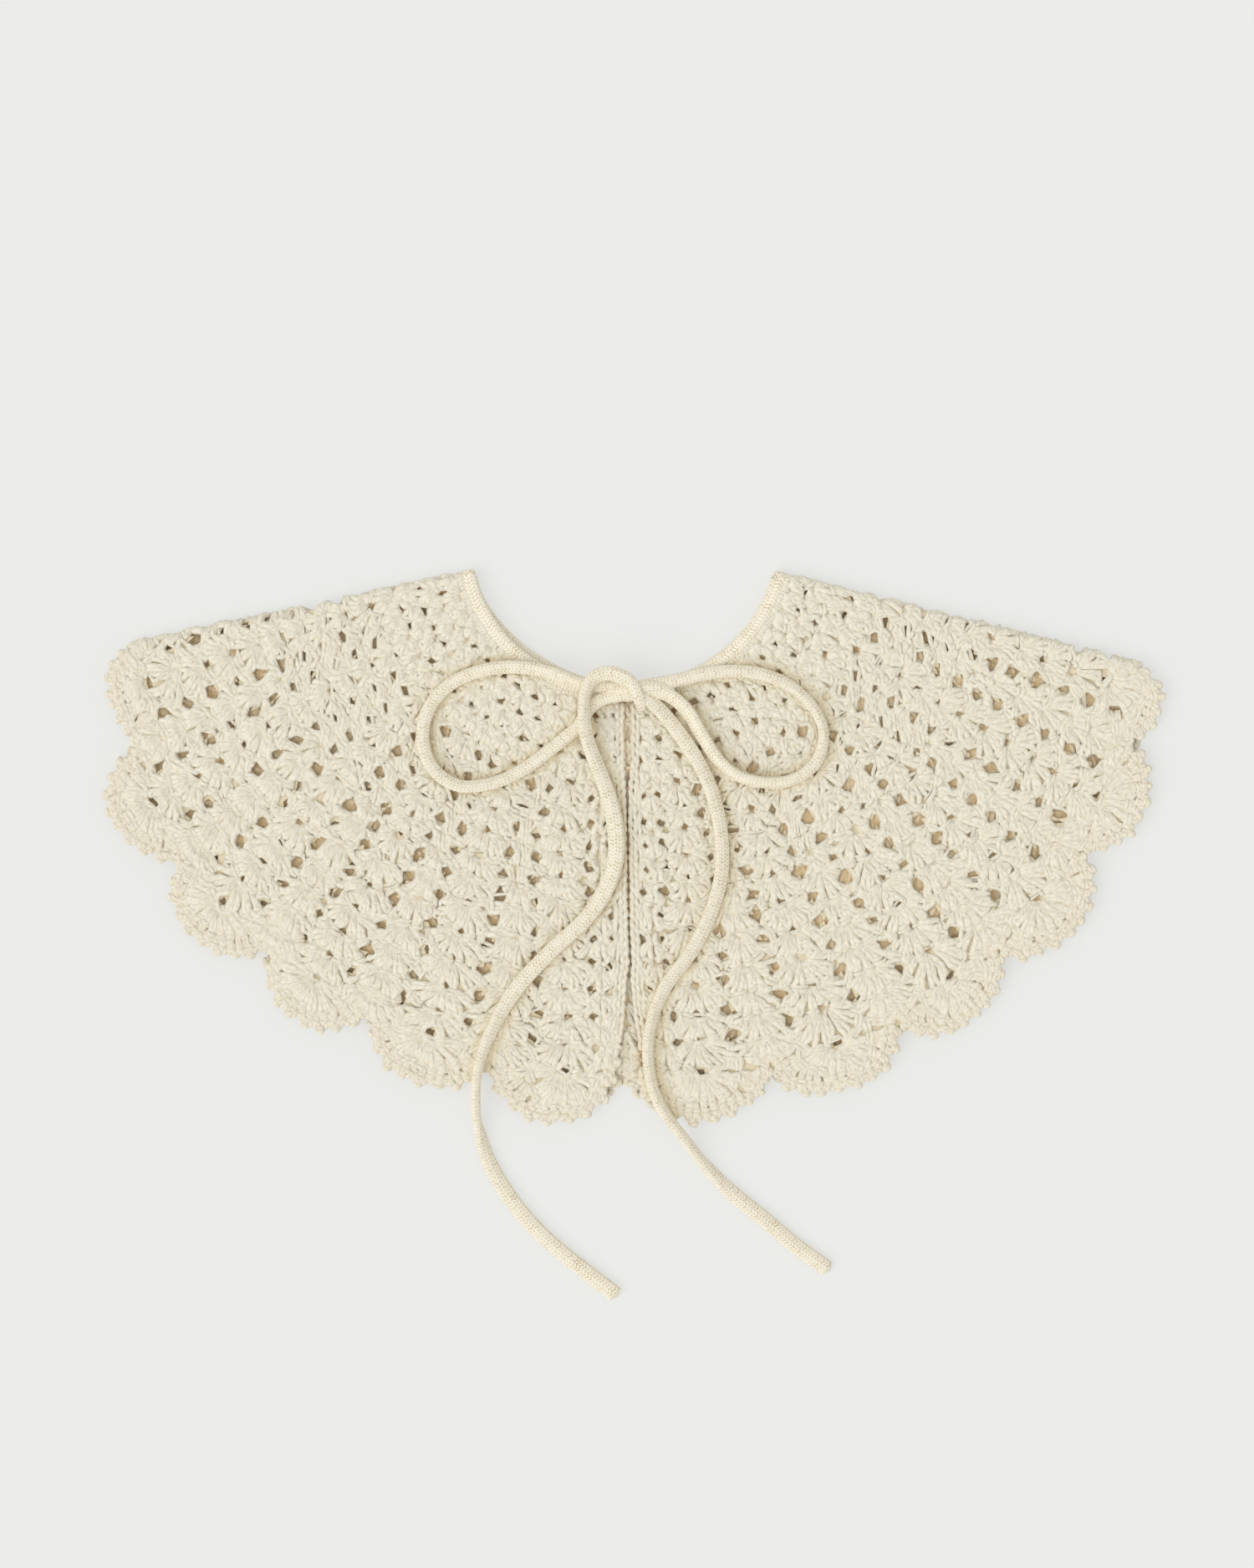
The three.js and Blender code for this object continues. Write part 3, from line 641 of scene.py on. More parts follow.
def front_place(x, y, height):
    """Where a point of the front layer lies: flat, round the turn at a fold, or on the back past the fold."""
    x, y, height = uneven(x, y, height, 1)
    for neck, along, inwards in FOLDS:
        inside = (Vector((x, y)) - neck).dot(inwards)
        if inside < ROLL_OUTER:
            walked = ROLL_OUTER - inside
            turn = walked / ROLL_MIDDLE
            reach = ROLL_MIDDLE + height
            if turn < math.pi:
                shift = ROLL_OUTER - reach * math.sin(turn) - inside
                z = ROLL_OUTER + reach * math.cos(turn)
            else:
                shift = ROLL_OUTER + walked - math.pi * ROLL_MIDDLE - inside
                z = BACK_MIDDLE - height
            return x + inwards.x * shift, y + inwards.y * shift, z
    return x, y, FRONT_MIDDLE + height


def back_place(x, y, height):
    """Where a point of the back layer lies: nearer the front beneath it and in the opening."""
    x, y, height = uneven(x, y, height, 0)
    down = CENTER_Y - y
    radius = math.hypot(x - CENTER_X, down)
    under_front = clamp((247 - radius) / 12) * clamp((radius - 84) / 8) * clamp((inside_folds(x, y) - 9) / 12)
    in_opening = clamp((down - 80) / 6) * clamp(1.6 - abs(x - CENTER_X - 1.5) / 6)
    nearer = 0.9 + 0.5 * clamp((x - CENTER_X - 20) / 60)
    lift = max(nearer * under_front, lerp(2.6, 1.5, clamp((down - 104) / 24)) * in_opening)
    return x, y, BACK_MIDDLE - height + lift


def inside_folds(x, y):
    return min((Vector((x, y)) - neck).dot(inwards) for neck, along, inwards in FOLDS)


def fold_angle(side, radius, inside):
    """The angle of the point beside a fold, at a distance along it and a distance in from its outer side."""
    neck, along, inwards = FOLDS[side]
    point = neck + along * (radius - NECK_RADIUS) + inwards * inside
    return angle_of(point.x, point.y)


# Strands of yarn are gathered here as lines, and made into round yarn by Geometry Nodes below
rng = random.Random(RANDOM_SEED)


class Strands:
    def __init__(self):
        self.points = []
        self.edges = []
        self.thickness = []
        self.tint = []
        self.depth = []
        self.first = []

    # Depths below 1 give points the painted shade of deep places.
    def add(self, points, radii, depths=None):
        first = len(self.points)
        tint = rng.random()
        for k, point in enumerate(points):
            self.points.append(tuple(c * MM for c in point))
            self.thickness.append(radii[k] * MM)
            self.tint.append(tint)
            self.first.append(points[0][0] * MM)
            self.depth.append(1.0 if depths is None else depths[k])
            if k:
                self.edges.append((first + k - 1, first + k))


    def part(self, side):
        """The strands on one side of the curve centre."""
        chosen = Strands()
        new = {}
        for k, point in enumerate(self.points):
            if (self.first[k] >= CENTER_X * MM) == (side > 0):
                new[k] = len(chosen.points)
                chosen.points.append(point)
                chosen.thickness.append(self.thickness[k])
                chosen.tint.append(self.tint[k])
                chosen.depth.append(self.depth[k])
        chosen.edges = [(new[a], new[b]) for a, b in self.edges if a in new]
        return chosen


def spun_yarn_tree(name, sides):
    """Round strands along loose edges. Stores the distance along and the place round for the material."""
    tree = bpy.data.node_groups.new(name, "GeometryNodeTree")
    tree.interface.new_socket("Geometry", in_out="INPUT", socket_type="NodeSocketGeometry")
    thick = tree.interface.new_socket("Thickness", in_out="INPUT", socket_type="NodeSocketFloat")
    thick.default_value = 1.0
    tree.interface.new_socket("Unevenness", in_out="INPUT", socket_type="NodeSocketFloat")
    tree.interface.new_socket("Yarn", in_out="INPUT", socket_type="NodeSocketMaterial")
    tree.interface.new_socket("Geometry", in_out="OUTPUT", socket_type="NodeSocketGeometry")
    link = tree.links.new
    given = tree.nodes.new("NodeGroupInput")
    result = tree.nodes.new("NodeGroupOutput")
    lines = tree.nodes.new("GeometryNodeMeshToCurve")
    link(given.outputs["Geometry"], lines.inputs["Mesh"])
    walked = tree.nodes.new("GeometryNodeSplineParameter")
    keep_along = add_node(tree, "GeometryNodeStoreNamedAttribute", data_type="FLOAT", domain="POINT")
    keep_along.inputs["Name"].default_value = "along"
    link(lines.outputs["Curve"], keep_along.inputs["Geometry"])
    link(walked.outputs["Length"], keep_along.inputs["Value"])
    circle = tree.nodes.new("GeometryNodeCurvePrimitiveCircle")
    circle.inputs["Resolution"].default_value = sides
    circle.inputs["Radius"].default_value = 1.0
    where = tree.nodes.new("GeometryNodeInputPosition")
    keep_round = add_node(tree, "GeometryNodeStoreNamedAttribute", data_type="FLOAT_VECTOR", domain="POINT")
    keep_round.inputs["Name"].default_value = "round"
    link(circle.outputs["Curve"], keep_round.inputs["Geometry"])
    link(where.outputs[0], keep_round.inputs["Value"])
    thickness = add_node(tree, "GeometryNodeInputNamedAttribute", data_type="FLOAT")
    thickness.inputs["Name"].default_value = "thickness"
    scale = math_node(tree, "MULTIPLY", thickness.outputs[0], given.outputs["Thickness"])
    tubes = tree.nodes.new("GeometryNodeCurveToMesh")
    tubes.inputs["Fill Caps"].default_value = True
    link(keep_along.outputs["Geometry"], tubes.inputs["Curve"])
    link(keep_round.outputs["Geometry"], tubes.inputs["Profile Curve"])
    link(scale, tubes.inputs["Scale"])
    lumps = add_node(tree, "ShaderNodeTexNoise", noise_dimensions="3D")
    lumps.inputs["Scale"].default_value = 620.0
    lumps.inputs["Detail"].default_value = 1.0
    centred = math_node(tree, "SUBTRACT", lumps.outputs[0], 0.5)
    amount = math_node(tree, "MULTIPLY", centred, given.outputs["Unevenness"])
    normal = tree.nodes.new("GeometryNodeInputNormal")
    offset = add_node(tree, "ShaderNodeVectorMath", operation="SCALE")
    link(normal.outputs[0], offset.inputs[0])
    link(amount, offset.inputs["Scale"])
    uneven = tree.nodes.new("GeometryNodeSetPosition")
    link(tubes.outputs["Mesh"], uneven.inputs["Geometry"])
    link(offset.outputs[0], uneven.inputs["Offset"])
    smooth = tree.nodes.new("GeometryNodeSetShadeSmooth")
    link(uneven.outputs["Geometry"], smooth.inputs["Geometry"])
    real = tree.nodes.new("GeometryNodeRealizeInstances")
    link(smooth.outputs["Geometry"], real.inputs["Geometry"])
    finish = tree.nodes.new("GeometryNodeSetMaterial")
    link(real.outputs["Geometry"], finish.inputs["Geometry"])
    link(given.outputs["Yarn"], finish.inputs["Material"])
    link(finish.outputs["Geometry"], result.inputs["Geometry"])
    return tree


yarn_trees = {sides: spun_yarn_tree("spun_yarn_%d" % sides, sides) for sides in (5, 6)}


def yarn_piece(name, strands, material, sides=6):
    lines = bpy.data.meshes.new(name + "_lines")
    lines.from_pydata(strands.points, strands.edges, [])
    for key, values in (("thickness", strands.thickness), ("tint", strands.tint), ("depth", strands.depth)):
        lines.attributes.new(key, "FLOAT", "POINT").data.foreach_set("value", values)
    source = object_from(name + "_lines", lines)
    tree = yarn_trees[sides]
    modifier = source.modifiers.new("spun_yarn", "NODES")
    modifier.node_group = tree
    ids = {item.name: item.identifier for item in tree.interface.items_tree if item.in_out == "INPUT"}
    modifier[ids["Thickness"]] = 1.0
    modifier[ids["Unevenness"]] = 0.0011
    modifier[ids["Yarn"]] = material
    depsgraph = bpy.context.evaluated_depsgraph_get()
    evaluated = source.evaluated_get(depsgraph)
    mesh = bpy.data.meshes.new_from_object(evaluated, preserve_all_data_layers=True, depsgraph=depsgraph)
    mesh.name = name
    shade_depth(mesh)
    if not mesh.materials:
        mesh.materials.append(material)
    bpy.data.objects.remove(source)
    return object_from(name, mesh)


# How far from the middle of the folded fabric it counts as deep, for the painted shade, and how far the
# cord's painted shadow reaches
DEEP_FROM = 0.7
DEEP_TO = 2.1
CORD_SHADE_FROM = 2.8
CORD_SHADE_TO = 6.2
CORD_SHADE_SHIFT = (1.7, 0.9)
FLOOR_CLEAR = 0.04
HEM_SHADE_REACH = 8.0
HEM_SHADE_WIDTH = 4.0
GAP_DEPTH = 0.35
cord_points = [point for piece, path, length in cords.values() for point in path]
cord_tree = kdtree.KDTree(len(cord_points))
for k, point in enumerate(cord_points):
    cord_tree.insert((point.x + CORD_SHADE_SHIFT[0], point.y + CORD_SHADE_SHIFT[1], 0.0), k)
cord_tree.balance()


def shade_depth(mesh):
    """Keeps a piece above the floor. Stores how open each vertex lies, from 0 in the middle of the folded
    fabric to 1 at its outer faces, for the painted shade, and how near it is to the cord, for its painted
    shadow."""
    places = numpy.empty(len(mesh.vertices) * 3)
    mesh.vertices.foreach_get("co", places)
    places = places.reshape(-1, 3) / MM
    inside = numpy.full(len(places), 1000.0)
    for neck, along, inwards in FOLDS:
        away = (places[:, 0] - neck.x) * inwards.x + (places[:, 1] - neck.y) * inwards.y
        inside = numpy.minimum(inside, away)
    heights = numpy.maximum(places[:, 2], FLOOR_CLEAR)
    places[:, 2] = heights
    mesh.vertices.foreach_set("co", (places * MM).ravel())
    from_middle = numpy.hypot(places[:, 2] - STACK / 2, numpy.maximum(0.0, ROLL_OUTER - inside))
    open_share = numpy.clip((from_middle - DEEP_FROM) / (DEEP_TO - DEEP_FROM), 0.0, 1.0)
    radius = numpy.hypot(places[:, 0] - CENTER_X, places[:, 1] - CENTER_Y)
    angle = numpy.degrees(numpy.arctan2(places[:, 0] - CENTER_X, CENTER_Y - places[:, 1]))
    angles = [k / 4 for k in range(-340, 341)]
    hem = numpy.interp(angle, angles, [front_hem_radius(a) for a in angles])
    past_hem = (radius - hem + HEM_SHADE_REACH) / HEM_SHADE_WIDTH
    down = CENTER_Y - places[:, 1]
    left = CENTER_X + numpy.interp(down, [d for d, a, b in OPENING], [a for d, a, b in OPENING])
    right = CENTER_X + numpy.interp(down, [d for d, a, b in OPENING], [b for d, a, b in OPENING])
    beside_opening = (places[:, 0] > left - 1.5) & (places[:, 0] < right + 1.5)
    in_opening = numpy.where(beside_opening, numpy.clip((down - 170) / 30, 0.5, 1.0), 0.0)
    beneath = places[:, 2] < numpy.where(in_opening > 0.0, STACK / 2 + 1.8, STACK / 2)
    # Less painted shade where the inside shows: near the hem and in the opening.
    seen = numpy.clip(numpy.maximum(past_hem, in_opening), 0.0, 1.0)
    rim = numpy.clip(past_hem, 0.0, 1.0) * numpy.where(places[:, 2] < FRONT_MIDDLE - 0.6, 1.0, 0.6)
    open_share = numpy.maximum(open_share, numpy.where(beneath, seen, rim))
    # Painted shade in the narrow gap between the bands of the opening.
    in_gap = (places[:, 0] > left - 0.7) & (places[:, 0] < right + 0.7) & (places[:, 2] < FRONT_MIDDLE + 0.7)
    if mesh.name.startswith("front_band"):
        open_share = numpy.where(in_gap, GAP_DEPTH, open_share)
    attribute_data = mesh.attributes.get("depth") or mesh.attributes.new("depth", "FLOAT", "POINT")
    attribute_data.data.foreach_set("value", numpy.clip(open_share, 0.0, 1.0))
    # Painted shadow beside the cord, set off to the side away from the key light.
    near = numpy.zeros(len(places))
    for k in numpy.nonzero(places[:, 2] > STACK / 2)[0]:
        away = cord_tree.find((places[k, 0], places[k, 1], 0.0))[2]
        near[k] = clamp((CORD_SHADE_TO - away) / (CORD_SHADE_TO - CORD_SHADE_FROM))
    mesh.attributes.new("painted_cord_shadow", "FLOAT", "POINT").data.foreach_set("value", near)


def jitter(amount):
    return rng.uniform(-amount, amount)


# Beside the opening, left and right: how many degrees out the eyelets stand, at a radius
EDGE_OUTER = {
    -1: [(121, 6.9), (133, 6.7), (150, 6.2), (164, 5.8), (174, 4.8), (198, 4.3), (224, 3.8), (250, 3.0)],
    1: [
        (121, 6.8), (140, 7.0), (161, 6.8), (171, 6.0), (182, 5.4), (193, 5.0), (206, 5.2), (220, 5.7),
        (250, 5.9),
    ],
}
EDGE_INNER = {
    -1: [(121, 4.3), (142, 3.5), (152, 2.6), (175, 1.8), (206, 1.8), (250, 1.6)],
    1: [(121, 4.0), (151, 3.7), (161, 3.6), (172, 3.0), (193, 2.6), (214, 2.9), (250, 3.2)],
}


def column_angle(column, radius):
    return table_at(list(zip(COLUMN_RADII, column)), radius)


def ladder_angles(ladder, radius):
    share = clamp((radius - LADDER_INNER) / (LADDER_OUTER - LADDER_INNER))
    return lerp(ladder[0], ladder[2], share), lerp(ladder[1], ladder[3], share)


def millimetres(angle, radius):
    return math.radians(angle) * radius


# The holes of the front: middle, how they are turned, and half their size across and outwards
HOLES = {}
HOLE_CELL = 8.0
LARGE_HOLE = 1.4


def add_hole(angle, radius, half_x, half_y):
    x, y = polar(angle, radius)
    turn = math.radians(angle + jitter(32))
    size = 1 + jitter(0.24)
    stretch = 1 + rng.uniform(-0.2, 0.32)
    narrow = rng.choice((-0.6, 0.6))
    hole = (x, y, math.cos(turn), math.sin(turn), half_x * size * stretch, half_y * size / stretch, narrow)
    i, j = int(x // HOLE_CELL), int(y // HOLE_CELL)
    for di in (-1, 0, 1):
        for dj in (-1, 0, 1):
            HOLES.setdefault((i + di, j + dj), []).append(hole)


def hole_half(hole, x, y, margin):
    """A point in a hole's own directions, and half the hole's width there: narrower towards one end."""
    hx, hy, c, s, half_x, half_y, narrow = hole
    u, v = (x - hx) * c + (y - hy) * s, (y - hy) * c - (x - hx) * s
    t = v / (half_y + margin)
    if abs(t) >= 1:
        return u, v, 0.0
    return u, v, (half_x + margin) * (1 + narrow * t) * (1 - abs(t) ** 1.6) ** 0.625


def in_large_hole(x, y, margin):
    for hole in HOLES.get((int(x // HOLE_CELL), int(y // HOLE_CELL)), ()):
        u, v, half = hole_half(hole, x, y, margin)
        if hole[4] > LARGE_HOLE and abs(u) < half:
            return True
    return False


def part_around(points, margin):
    """Flat points of one strand, moved to one side of any hole that they run through."""
    moved = list(points)
    for k, point in enumerate(points):
        for hole in HOLES.get((int(point[0] // HOLE_CELL), int(point[1] // HOLE_CELL)), ()):
            u, v, half = hole_half(hole, point[0], point[1], margin)
            if abs(u) >= half:
                continue
            hx, hy, c, s = hole[:4]
            mean = sum((p[0] - hx) * c + (p[1] - hy) * s for p in points) / len(points)
            u = math.copysign(half, mean)
            moved[k] = (hx + u * c - v * s, hy + u * s + v * c) + tuple(point[2:])
            break
    return moved


for row in EYELET_ROWS:
    size = (2.65, 2.6) if row < 175 else (2.7, 2.9)
    for ladder in FOLD_LADDERS + LADDERS:
        for spot in ladder_angles(ladder, row):
            if abs(spot) < 76:
                wider = 1 + 0.1 * clamp((spot - 12) / 20) * clamp((row - 170) / 20) - 0.06 * clamp(-spot / 20)
                add_hole(spot + jitter(0.15), row + jitter(0.4), size[0] * wider, size[1] * wider)
    for side in (-1, 1):
        add_hole(side * table_at(EDGE_OUTER[side], row), row, 1.9, 2.2)
        if row < 225:
            add_hole(side * table_at(EDGE_INNER[side], row), row, 1.55, 1.8)
for row, radius in enumerate(NECK_ROWS[1:-1]):
    pitch = math.degrees(NECK_PITCH / radius)
    angle = -74.0 + (pitch / 2 if row % 2 else 0.0)
    while angle < 74.0:
        if rng.random() < (0.85 if abs(angle) < 45 else 0.6):
            size = 1.0 if abs(angle) < 45 else 0.85
            add_hole(
                angle + jitter(0.5), radius - 1.0, (1.5 + jitter(0.5)) * size, (1.15 + jitter(0.35)) * size,
            )
        angle += pitch
for angles, last in SHELL_COLUMNS:
    add_hole(column_angle(angles, last), last, 1.9, 1.5)
    for row in SHELL_ROWS:
        if row < last - 8:
            add_hole(column_angle(angles, row), row + 0.4, 1.1 + jitter(0.3), 0.9 + jitter(0.3))


# Along each post of a shell: how far along, how high, how thick and how open it lies, which sets its painted
# shade
# One leg of the V on a stitch's top: how far along, how far out and how high
HEAD_LEG = (
    (-1.0, -0.5, -0.5), (-0.5, 0.45, 0.1), (0.1, 0.6, 0.3), (0.6, 0.35, 0.1), (1.05, -0.35, -0.4),
)
FAN_PROFILE = (
    (0.0, -1.1, 0.95, 0.4), (0.22, -0.1, 1.28, 0.9), (0.46, 0.5, 1.5, 1.0), (0.70, 0.5, 1.66, 1.0),
    (0.90, -0.05, 1.62, 1.0), (1.0, -0.6, 1.3, 0.9),
)
BACK_FAN_PROFILE = (
    (0.0, -1.1, 0.95, 0.4), (0.3, 0.2, 1.35, 0.95), (0.62, 0.5, 1.55, 1.0), (0.90, -0.05, 1.55, 1.0),
    (1.0, -0.6, 1.25, 0.9),
)


class Layer:
    """The stitches of one layer of fabric. Loose counts are the strands that show in each post."""

    def __init__(self, place, per_post, keep, holes=False):
        self.place = place
        self.per_post = per_post
        self.keep = keep
        self.holes = holes
        self.posts = Strands()
        self.heads = Strands()
        self.wraps = Strands()

    def strand(self, into, flat, radii, depths=None):
        middle = flat[len(flat) // 2]
        if not self.keep(middle[0], middle[1]):
            return
        if self.holes:
            flat = part_around(flat, 0.8 * radii[len(radii) // 2])
        into.add([self.place(*point) for point in flat], radii, depths)

    def head(self, x, y, tangent, outward, length, height=0.35, thick=1.36, gap=1.05):
        """The V on top of one stitch: an outer and an inner strand side by side."""
        lean = math.radians(jitter(13))
        tangent = (
            tangent[0] * math.cos(lean) + outward[0] * math.sin(lean),
            tangent[1] * math.cos(lean) + outward[1] * math.sin(lean),
        )
        length *= 1 + jitter(0.12)
        height += jitter(0.15)
        pair = ((gap, 0.0, 1.0), (-gap, 0.1, 0.9)) if self.per_post > 1 else ((0.0, 0.0, 1.0),)
        for out, lift, share in pair:
            half = length / 2 * share
            rows = []
            for t, bow, up in HEAD_LEG:
                side = t * half + jitter(0.2)
                away = out * (0.75 + 0.25 * (1 - abs(t))) + bow * 0.8 + jitter(0.2)
                px = x + tangent[0] * side + outward[0] * away
                py = y + tangent[1] * side + outward[1] * away
                rows.append((px, py, height + lift + up * 0.8))
            wide = thick * (1.0 if self.per_post > 1 else 1.35) * (1 + jitter(0.1))
            radii = [wide * k for k in (0.62, 0.95, 1.0, 0.95, 0.6)]
            self.strand(self.heads, rows, radii, (0.8, 1.0, 1.0, 1.0, 0.8))

    def fan(self, angle, radius, posts, wide_left, wide_right, tall, spread=82.0, reach_at=None, heads=True):
        """A shell: posts that spread from one hole, with the V's of their tops along its edge."""
        bx, by = polar(angle, radius)
        a = math.radians(angle)
        out = (math.sin(a), -math.cos(a))
        side = (math.cos(a), math.sin(a))
        tips = []

        def reach(phi):
            wide = wide_left if phi < 0 else wide_right
            s = abs(math.sin(math.radians(phi)))
            c = abs(math.cos(math.radians(phi)))
            distance = 1 / ((s / wide) ** 3.4 + (c / tall) ** 3.4) ** 0.294
            if reach_at is not None:
                distance = min(distance, reach_at(phi))
            return distance

        for i in range(posts):
            lean = jitter(4.4)
            far = 1 + jitter(0.12)
            lift = jitter(0.2)
            for strand in range(self.per_post):
                plump = 1 + jitter(0.11)
                offset = 0.0 if self.per_post == 1 else (-0.23 if strand == 0 else 0.23)
                phi = lerp(-spread, spread, (i + 0.5 + offset) / posts) + lean
                inner = lerp(-spread, spread, (i + 0.5 + offset * 0.7) / posts)
                rows = []
                radii = []
                depths = []
                length = reach(phi) * far
                dome = 0.65 + 0.35 * math.cos(math.radians(phi))
                for t, up, thick, deep in FAN_PROFILE if self.per_post > 1 else BACK_FAN_PROFILE:
                    turn = math.radians(lerp(inner * 0.94, phi, t) + jitter(3.4))
                    away = lerp(1.5, length, t)
                    dx = math.sin(turn) * away
                    dy = math.cos(turn) * away
                    px = bx + side[0] * dx + out[0] * dy
                    py = by + side[1] * dx + out[1] * dy
                    rows.append((px, py, up * dome + lift + jitter(0.1)))
                    radii.append(thick * plump * (1.0 if self.per_post > 1 else 1.25))
                    depths.append(deep)
                self.strand(self.posts, rows, radii, depths)
            if self.per_post > 1 and reach(lerp(-spread, spread, (i + 0.5) / posts)) > 7.0:
                self.wrap(bx, by, side, out, lerp(-spread, spread, (i + 0.5) / posts) + lean, spread / posts,
                          reach(lerp(-spread, spread, (i + 0.5) / posts)), lift)
            phi = lerp(-spread, spread, (i + 0.5) / posts) + lean
            tips.append((phi, reach(phi) * far))
        if not heads:
            return
        spots = []
        for phi, away in tips:
            turn = math.radians(phi)
            dx = math.sin(turn) * away
            dy = math.cos(turn) * away
            spots.append((bx + side[0] * dx + out[0] * dy, by + side[1] * dx + out[1] * dy))
        for k, (x, y) in enumerate(spots):
            before = spots[max(k - 1, 0)]
            after = spots[min(k + 1, len(spots) - 1)]
            tx, ty = after[0] - before[0], after[1] - before[1]
            size = math.hypot(tx, ty) or 1.0
            pitch = size / (2 if 0 < k < len(spots) - 1 else 1)
            tx, ty = tx / size, ty / size
            self.head(x, y, (tx, ty), (ty, -tx), pitch * 1.08)

    def wrap(self, bx, by, side, out, phi, half_turn, length, lift):
        """The loop of yarn that runs slantwise round a post, a little above its middle."""
        rows = []
        lean = rng.choice((1, 1, 1, -1))
        for turned, t, up in ((-0.7, 0.42, 0.8), (-0.1, 0.56, 1.45), (0.7, 0.72, 0.9)):
            turn = math.radians(phi + lean * turned * half_turn)
            away = length * (t + jitter(0.03))
            dx = math.sin(turn) * away
            dy = math.cos(turn) * away
            rows.append((bx + side[0] * dx + out[0] * dy, by + side[1] * dx + out[1] * dy, up + lift))
        self.strand(self.wraps, rows, [0.8, 1.05, 0.85])

    def posts_between(self, left, right, low, high, thick=1.18):
        """Posts side by side, given by distances across the layer, from one row up to the next."""
        count = max(1, round(abs(right - left) / (1.8 if self.per_post > 1 else 2.6)))
        for k in range(count):
            across = lerp(left, right, (k + 0.5) / count)
            rows = []
            wander = jitter(0.9)
            slant = jitter(0.7)
            for t, up in ((0.0, -0.6), (0.25, 0.1), (0.55, 0.35), (0.8, 0.2), (1.0, -0.3)):
                radius = lerp(low, high, t)
                place = across + wander * math.sin(math.pi * t) + slant * (t - 0.5) + jitter(0.25)
                px, py = polar(math.degrees(place / radius), radius)
                rows.append((px, py, up + jitter(0.12)))
            wide = thick * (1.0 if self.per_post > 1 else 1.4) * (1 + jitter(0.12))
            radii = [wide * k for k in (0.8, 1.0, 1.08, 1.05, 0.9)]
            self.strand(self.posts, rows, radii, (0.6, 1, 1, 1, 0.8))

    def short_post(self, base, tip, thick=1.3, apart=1.25):
        """Two short strands side by side between two flat points."""
        size = math.dist(base, tip) or 1.0
        side = ((base[1] - tip[1]) / size, (tip[0] - base[0]) / size)
        for strand in (-0.5, 0.5) if self.per_post > 1 else (0.0,):
            rows = []
            for t, up in ((0.0, -0.6), (0.35, 0.1), (0.7, 0.25), (1.0, -0.2)):
                shift = strand * apart * (0.8 + 0.4 * t) + jitter(0.15)
                rows.append((
                    lerp(base[0], tip[0], t) + side[0] * shift, lerp(base[1], tip[1], t) + side[1] * shift,
                    up + jitter(0.12),
                ))
            wide = thick * (1.0 if self.per_post > 1 else 1.4) * (1 + jitter(0.12))
            self.strand(self.posts, rows, [wide * k for k in (0.8, 1.0, 1.1, 0.95)])

    def chain(self, points, pitch=3.6, height=0.3, thick=1.15, away=1, gap=1.0):
        """V's one after another along a line of flat points."""
        total = sum(math.dist(a, b) for a, b in zip(points, points[1:]))
        if total < 1.5:
            return
        count = max(1, round(total / pitch))
        step = total / count
        middles = []
        target = step / 2
        walked = 0.0
        for a, b in zip(points, points[1:]):
            size = math.dist(a, b)
            while size > 0 and target <= walked + size + 1e-9 and len(middles) < count:
                share = (target - walked) / size
                tangent = ((b[0] - a[0]) / size, (b[1] - a[1]) / size)
                middles.append((lerp(a[0], b[0], share), lerp(a[1], b[1], share), tangent))
                target += step
            walked += size
        for x, y, tangent in middles:
            outward = (tangent[1] * away, -tangent[0] * away)
            self.head(x, y, tangent, outward, step * 1.2, height, thick, gap)


# The layers
def opening_edges(down):
    left = table_at([(d, a) for d, a, b in OPENING], down)
    right = table_at([(d, b) for d, a, b in OPENING], down)
    return CENTER_X + left, CENTER_X + right


def keep_front(x, y):
    down = CENTER_Y - y
    left, right = opening_edges(down)
    left_margin = BAND_WIDTH - 0.6 if down < LEFT_BAND_END else 0.7
    right_margin = BAND_WIDTH - 0.6 if down < RIGHT_BAND_END else 0.7
    return x < left - left_margin or x > right + right_margin


def keep_back(x, y):
    return inside_folds(x, y) > 7.0


front = Layer(front_place, 2, keep_front, holes=True)
back = Layer(back_place, 1, keep_back)


def hem_line(radius_at, from_angle, to_angle, inset, steps):
    """Flat points at equal steps along the hem, moved in by an inset square to it."""
    middle = (from_angle + to_angle) / 2
    half = (to_angle - from_angle) / 2
    fine = []
    for k in range(241):
        angle = middle - half * math.cos(math.pi * k / 240)
        fine.append(polar(angle, radius_at(clamp(angle, from_angle + 0.001, to_angle - 0.001))))
    walked = [0.0]
    for a, b in zip(fine, fine[1:]):
        walked.append(walked[-1] + math.dist(a, b))
    even = []
    j = 0
    for k in range(steps + 1):
        target = walked[-1] * k / steps
        while j < 239 and walked[j + 1] < target:
            j += 1
        share = (target - walked[j]) / (walked[j + 1] - walked[j])
        even.append(tuple(lerp(fine[j][c], fine[j + 1][c], share) for c in (0, 1)))
    points = []
    for k, (x, y) in enumerate(even):
        x0, y0 = even[max(k - 1, 0)]
        x1, y1 = even[min(k + 1, steps)]
        size = math.hypot(x1 - x0, y1 - y0) or 1.0
        points.append((x - (y1 - y0) / size * inset, y + (x1 - x0) / size * inset))
    return points


